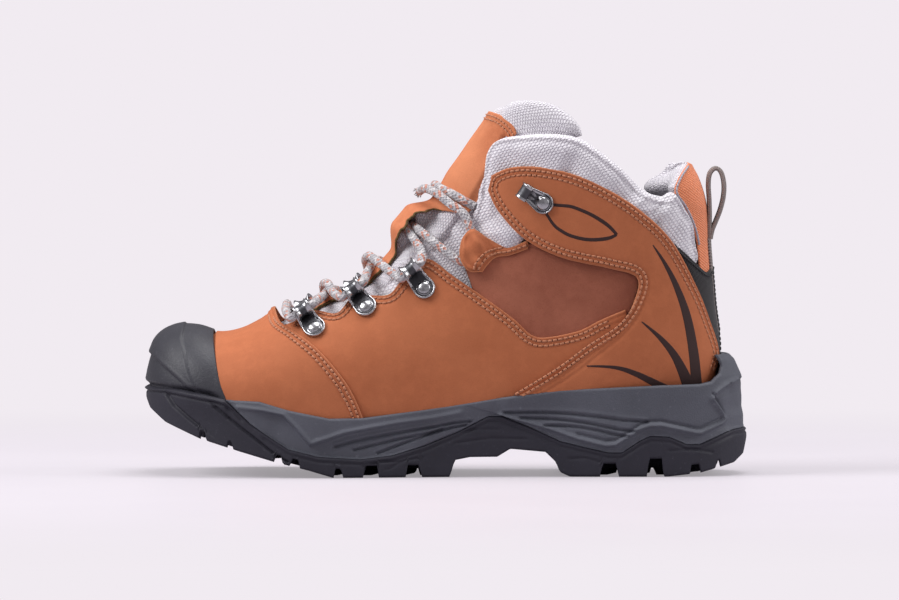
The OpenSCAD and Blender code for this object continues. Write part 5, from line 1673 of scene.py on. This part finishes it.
def either(tree, share, a, b):
    node = tree.nodes.new("ShaderNodeMixShader")
    for socket, output in zip(node.inputs, (share, a, b)):
        tree.links.new(output, socket)
    return node.outputs[0]


def floor():
    g = Graph("floor")
    at = g.coords()
    n = g.noise(at, 6.0, 3, 0.5)
    colour = g.mix(g.ramp(n, 0.2, 0.8), srgb(170, 165, 172), srgb(174, 169, 176))
    g.set(Base_Color=colour, Roughness=0.45, Specular_IOR_Level=0.2, Normal=g.bump(n, 0.05, 0.1))
    # Seen by the camera the floor glows a little, and away from the boot it is as bright as the backdrop
    near = g.tree.nodes.new("ShaderNodeAddShader")
    g.put(near.inputs[0], g.shader.outputs[0])
    g.put(near.inputs[1], pale_light(g.tree, "Emission", BACKDROP * FLOOR_GLOW))
    radius = g.node("VectorMath", output="Value", attrs={"operation": "LENGTH"}, i0=at)
    far = pale_light(g.tree, "Emission", BACKDROP)
    glow = either(g.tree, g.ramp(radius, 0.26, 0.75), near.outputs[0], far)
    by_camera = g.node("LightPath", output="Is Camera Ray")
    g.put(g.tree.nodes["Material Output"].inputs[0], either(g.tree, by_camera, g.shader.outputs[0], glow))
    a = np.arange(96) * 2 * np.pi / 96
    rings = [np.stack([r * np.cos(a), r * np.sin(a), 0 * a], -1) for r in (1, 400, 3000, 200000)]
    faces = grid_faces(4, 96, close=True).tolist() + [list(range(96))]
    plane = make("floor", np.concatenate(rings), faces, g.mat)
    plane.location.z = min(0.0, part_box("outsole")[0].z) - 0.0002


def studio():
    scene = bpy.context.scene
    scene.world = bpy.data.worlds.new("studio")
    scene.world.use_nodes = True
    tree = scene.world.node_tree
    back = tree.nodes["Background"]
    back.inputs[0].default_value, back.inputs[1].default_value = PALE, WORLD_LIGHT
    by_camera = tree.nodes.new("ShaderNodeLightPath").outputs["Is Camera Ray"]
    seen = either(tree, by_camera, back.outputs[0], pale_light(tree, "Background", BACKDROP))
    tree.links.new(seen, tree.nodes["World Output"].inputs[0])
    for name, spot, size, power, aim in LIGHTS:
        data = bpy.data.lights.new(name, "AREA")
        data.size, data.energy = size, power
        light = bpy.data.objects.new(name, data)
        scene.collection.objects.link(light)
        light.location = spot
        light.rotation_euler = (Vector(aim) - Vector(spot)).to_track_quat("-Z", "Y").to_euler()
    camera = bpy.data.objects.new("camera", bpy.data.cameras.new("camera"))
    scene.collection.objects.link(camera)
    camera.location = AIM + Vector((0, -math.cos(RISE), math.sin(RISE))) * AWAY
    camera.rotation_euler = (AIM - camera.location).to_track_quat("-Z", "Y").to_euler()
    camera.data.sensor_width = SENSOR
    camera.data.lens = SENSOR * AWAY / SEEN_WIDTH
    scene.camera = camera
    scene.view_settings.view_transform = "Standard"


def build():
    tan, black, grey = Stitching(), Stitching(), Stitching()
    sole()
    toe_cap()
    vamp(tan)
    for side, tag in ((LATERAL, "lateral"), (MEDIAL, "medial")):
        quarter(side, tag, tan)
        inset(side, tag)
        lace_tab(side, tag, tan)
        ankle_panel(side, tag, tan)
        strokes(side, tag)
        collar(side, tag)
        lace_hook(side, tag)
        for i in range(3):
            lace_loop(i, side, tag)
    rear_collar()
    heel_panel(grey)
    back_strap(black)
    pull_base(black)
    linings()
    footbed()
    tongue()
    tongue_face(THREAD, HOLE_SHADE)
    rivets()
    lace()
    pull_loop()
    finish_cad_nodes()
    for stitching, name, thread in ((tan, "leather_stitching", THREAD), (grey, "heel_stitching", GREY_THREAD),
                                    (black, "strap_stitching", BLACK_THREAD)):
        for obj in stitching.build(name, thread, HOLE_SHADE):
            add(obj)
    floor()
    studio()


build()
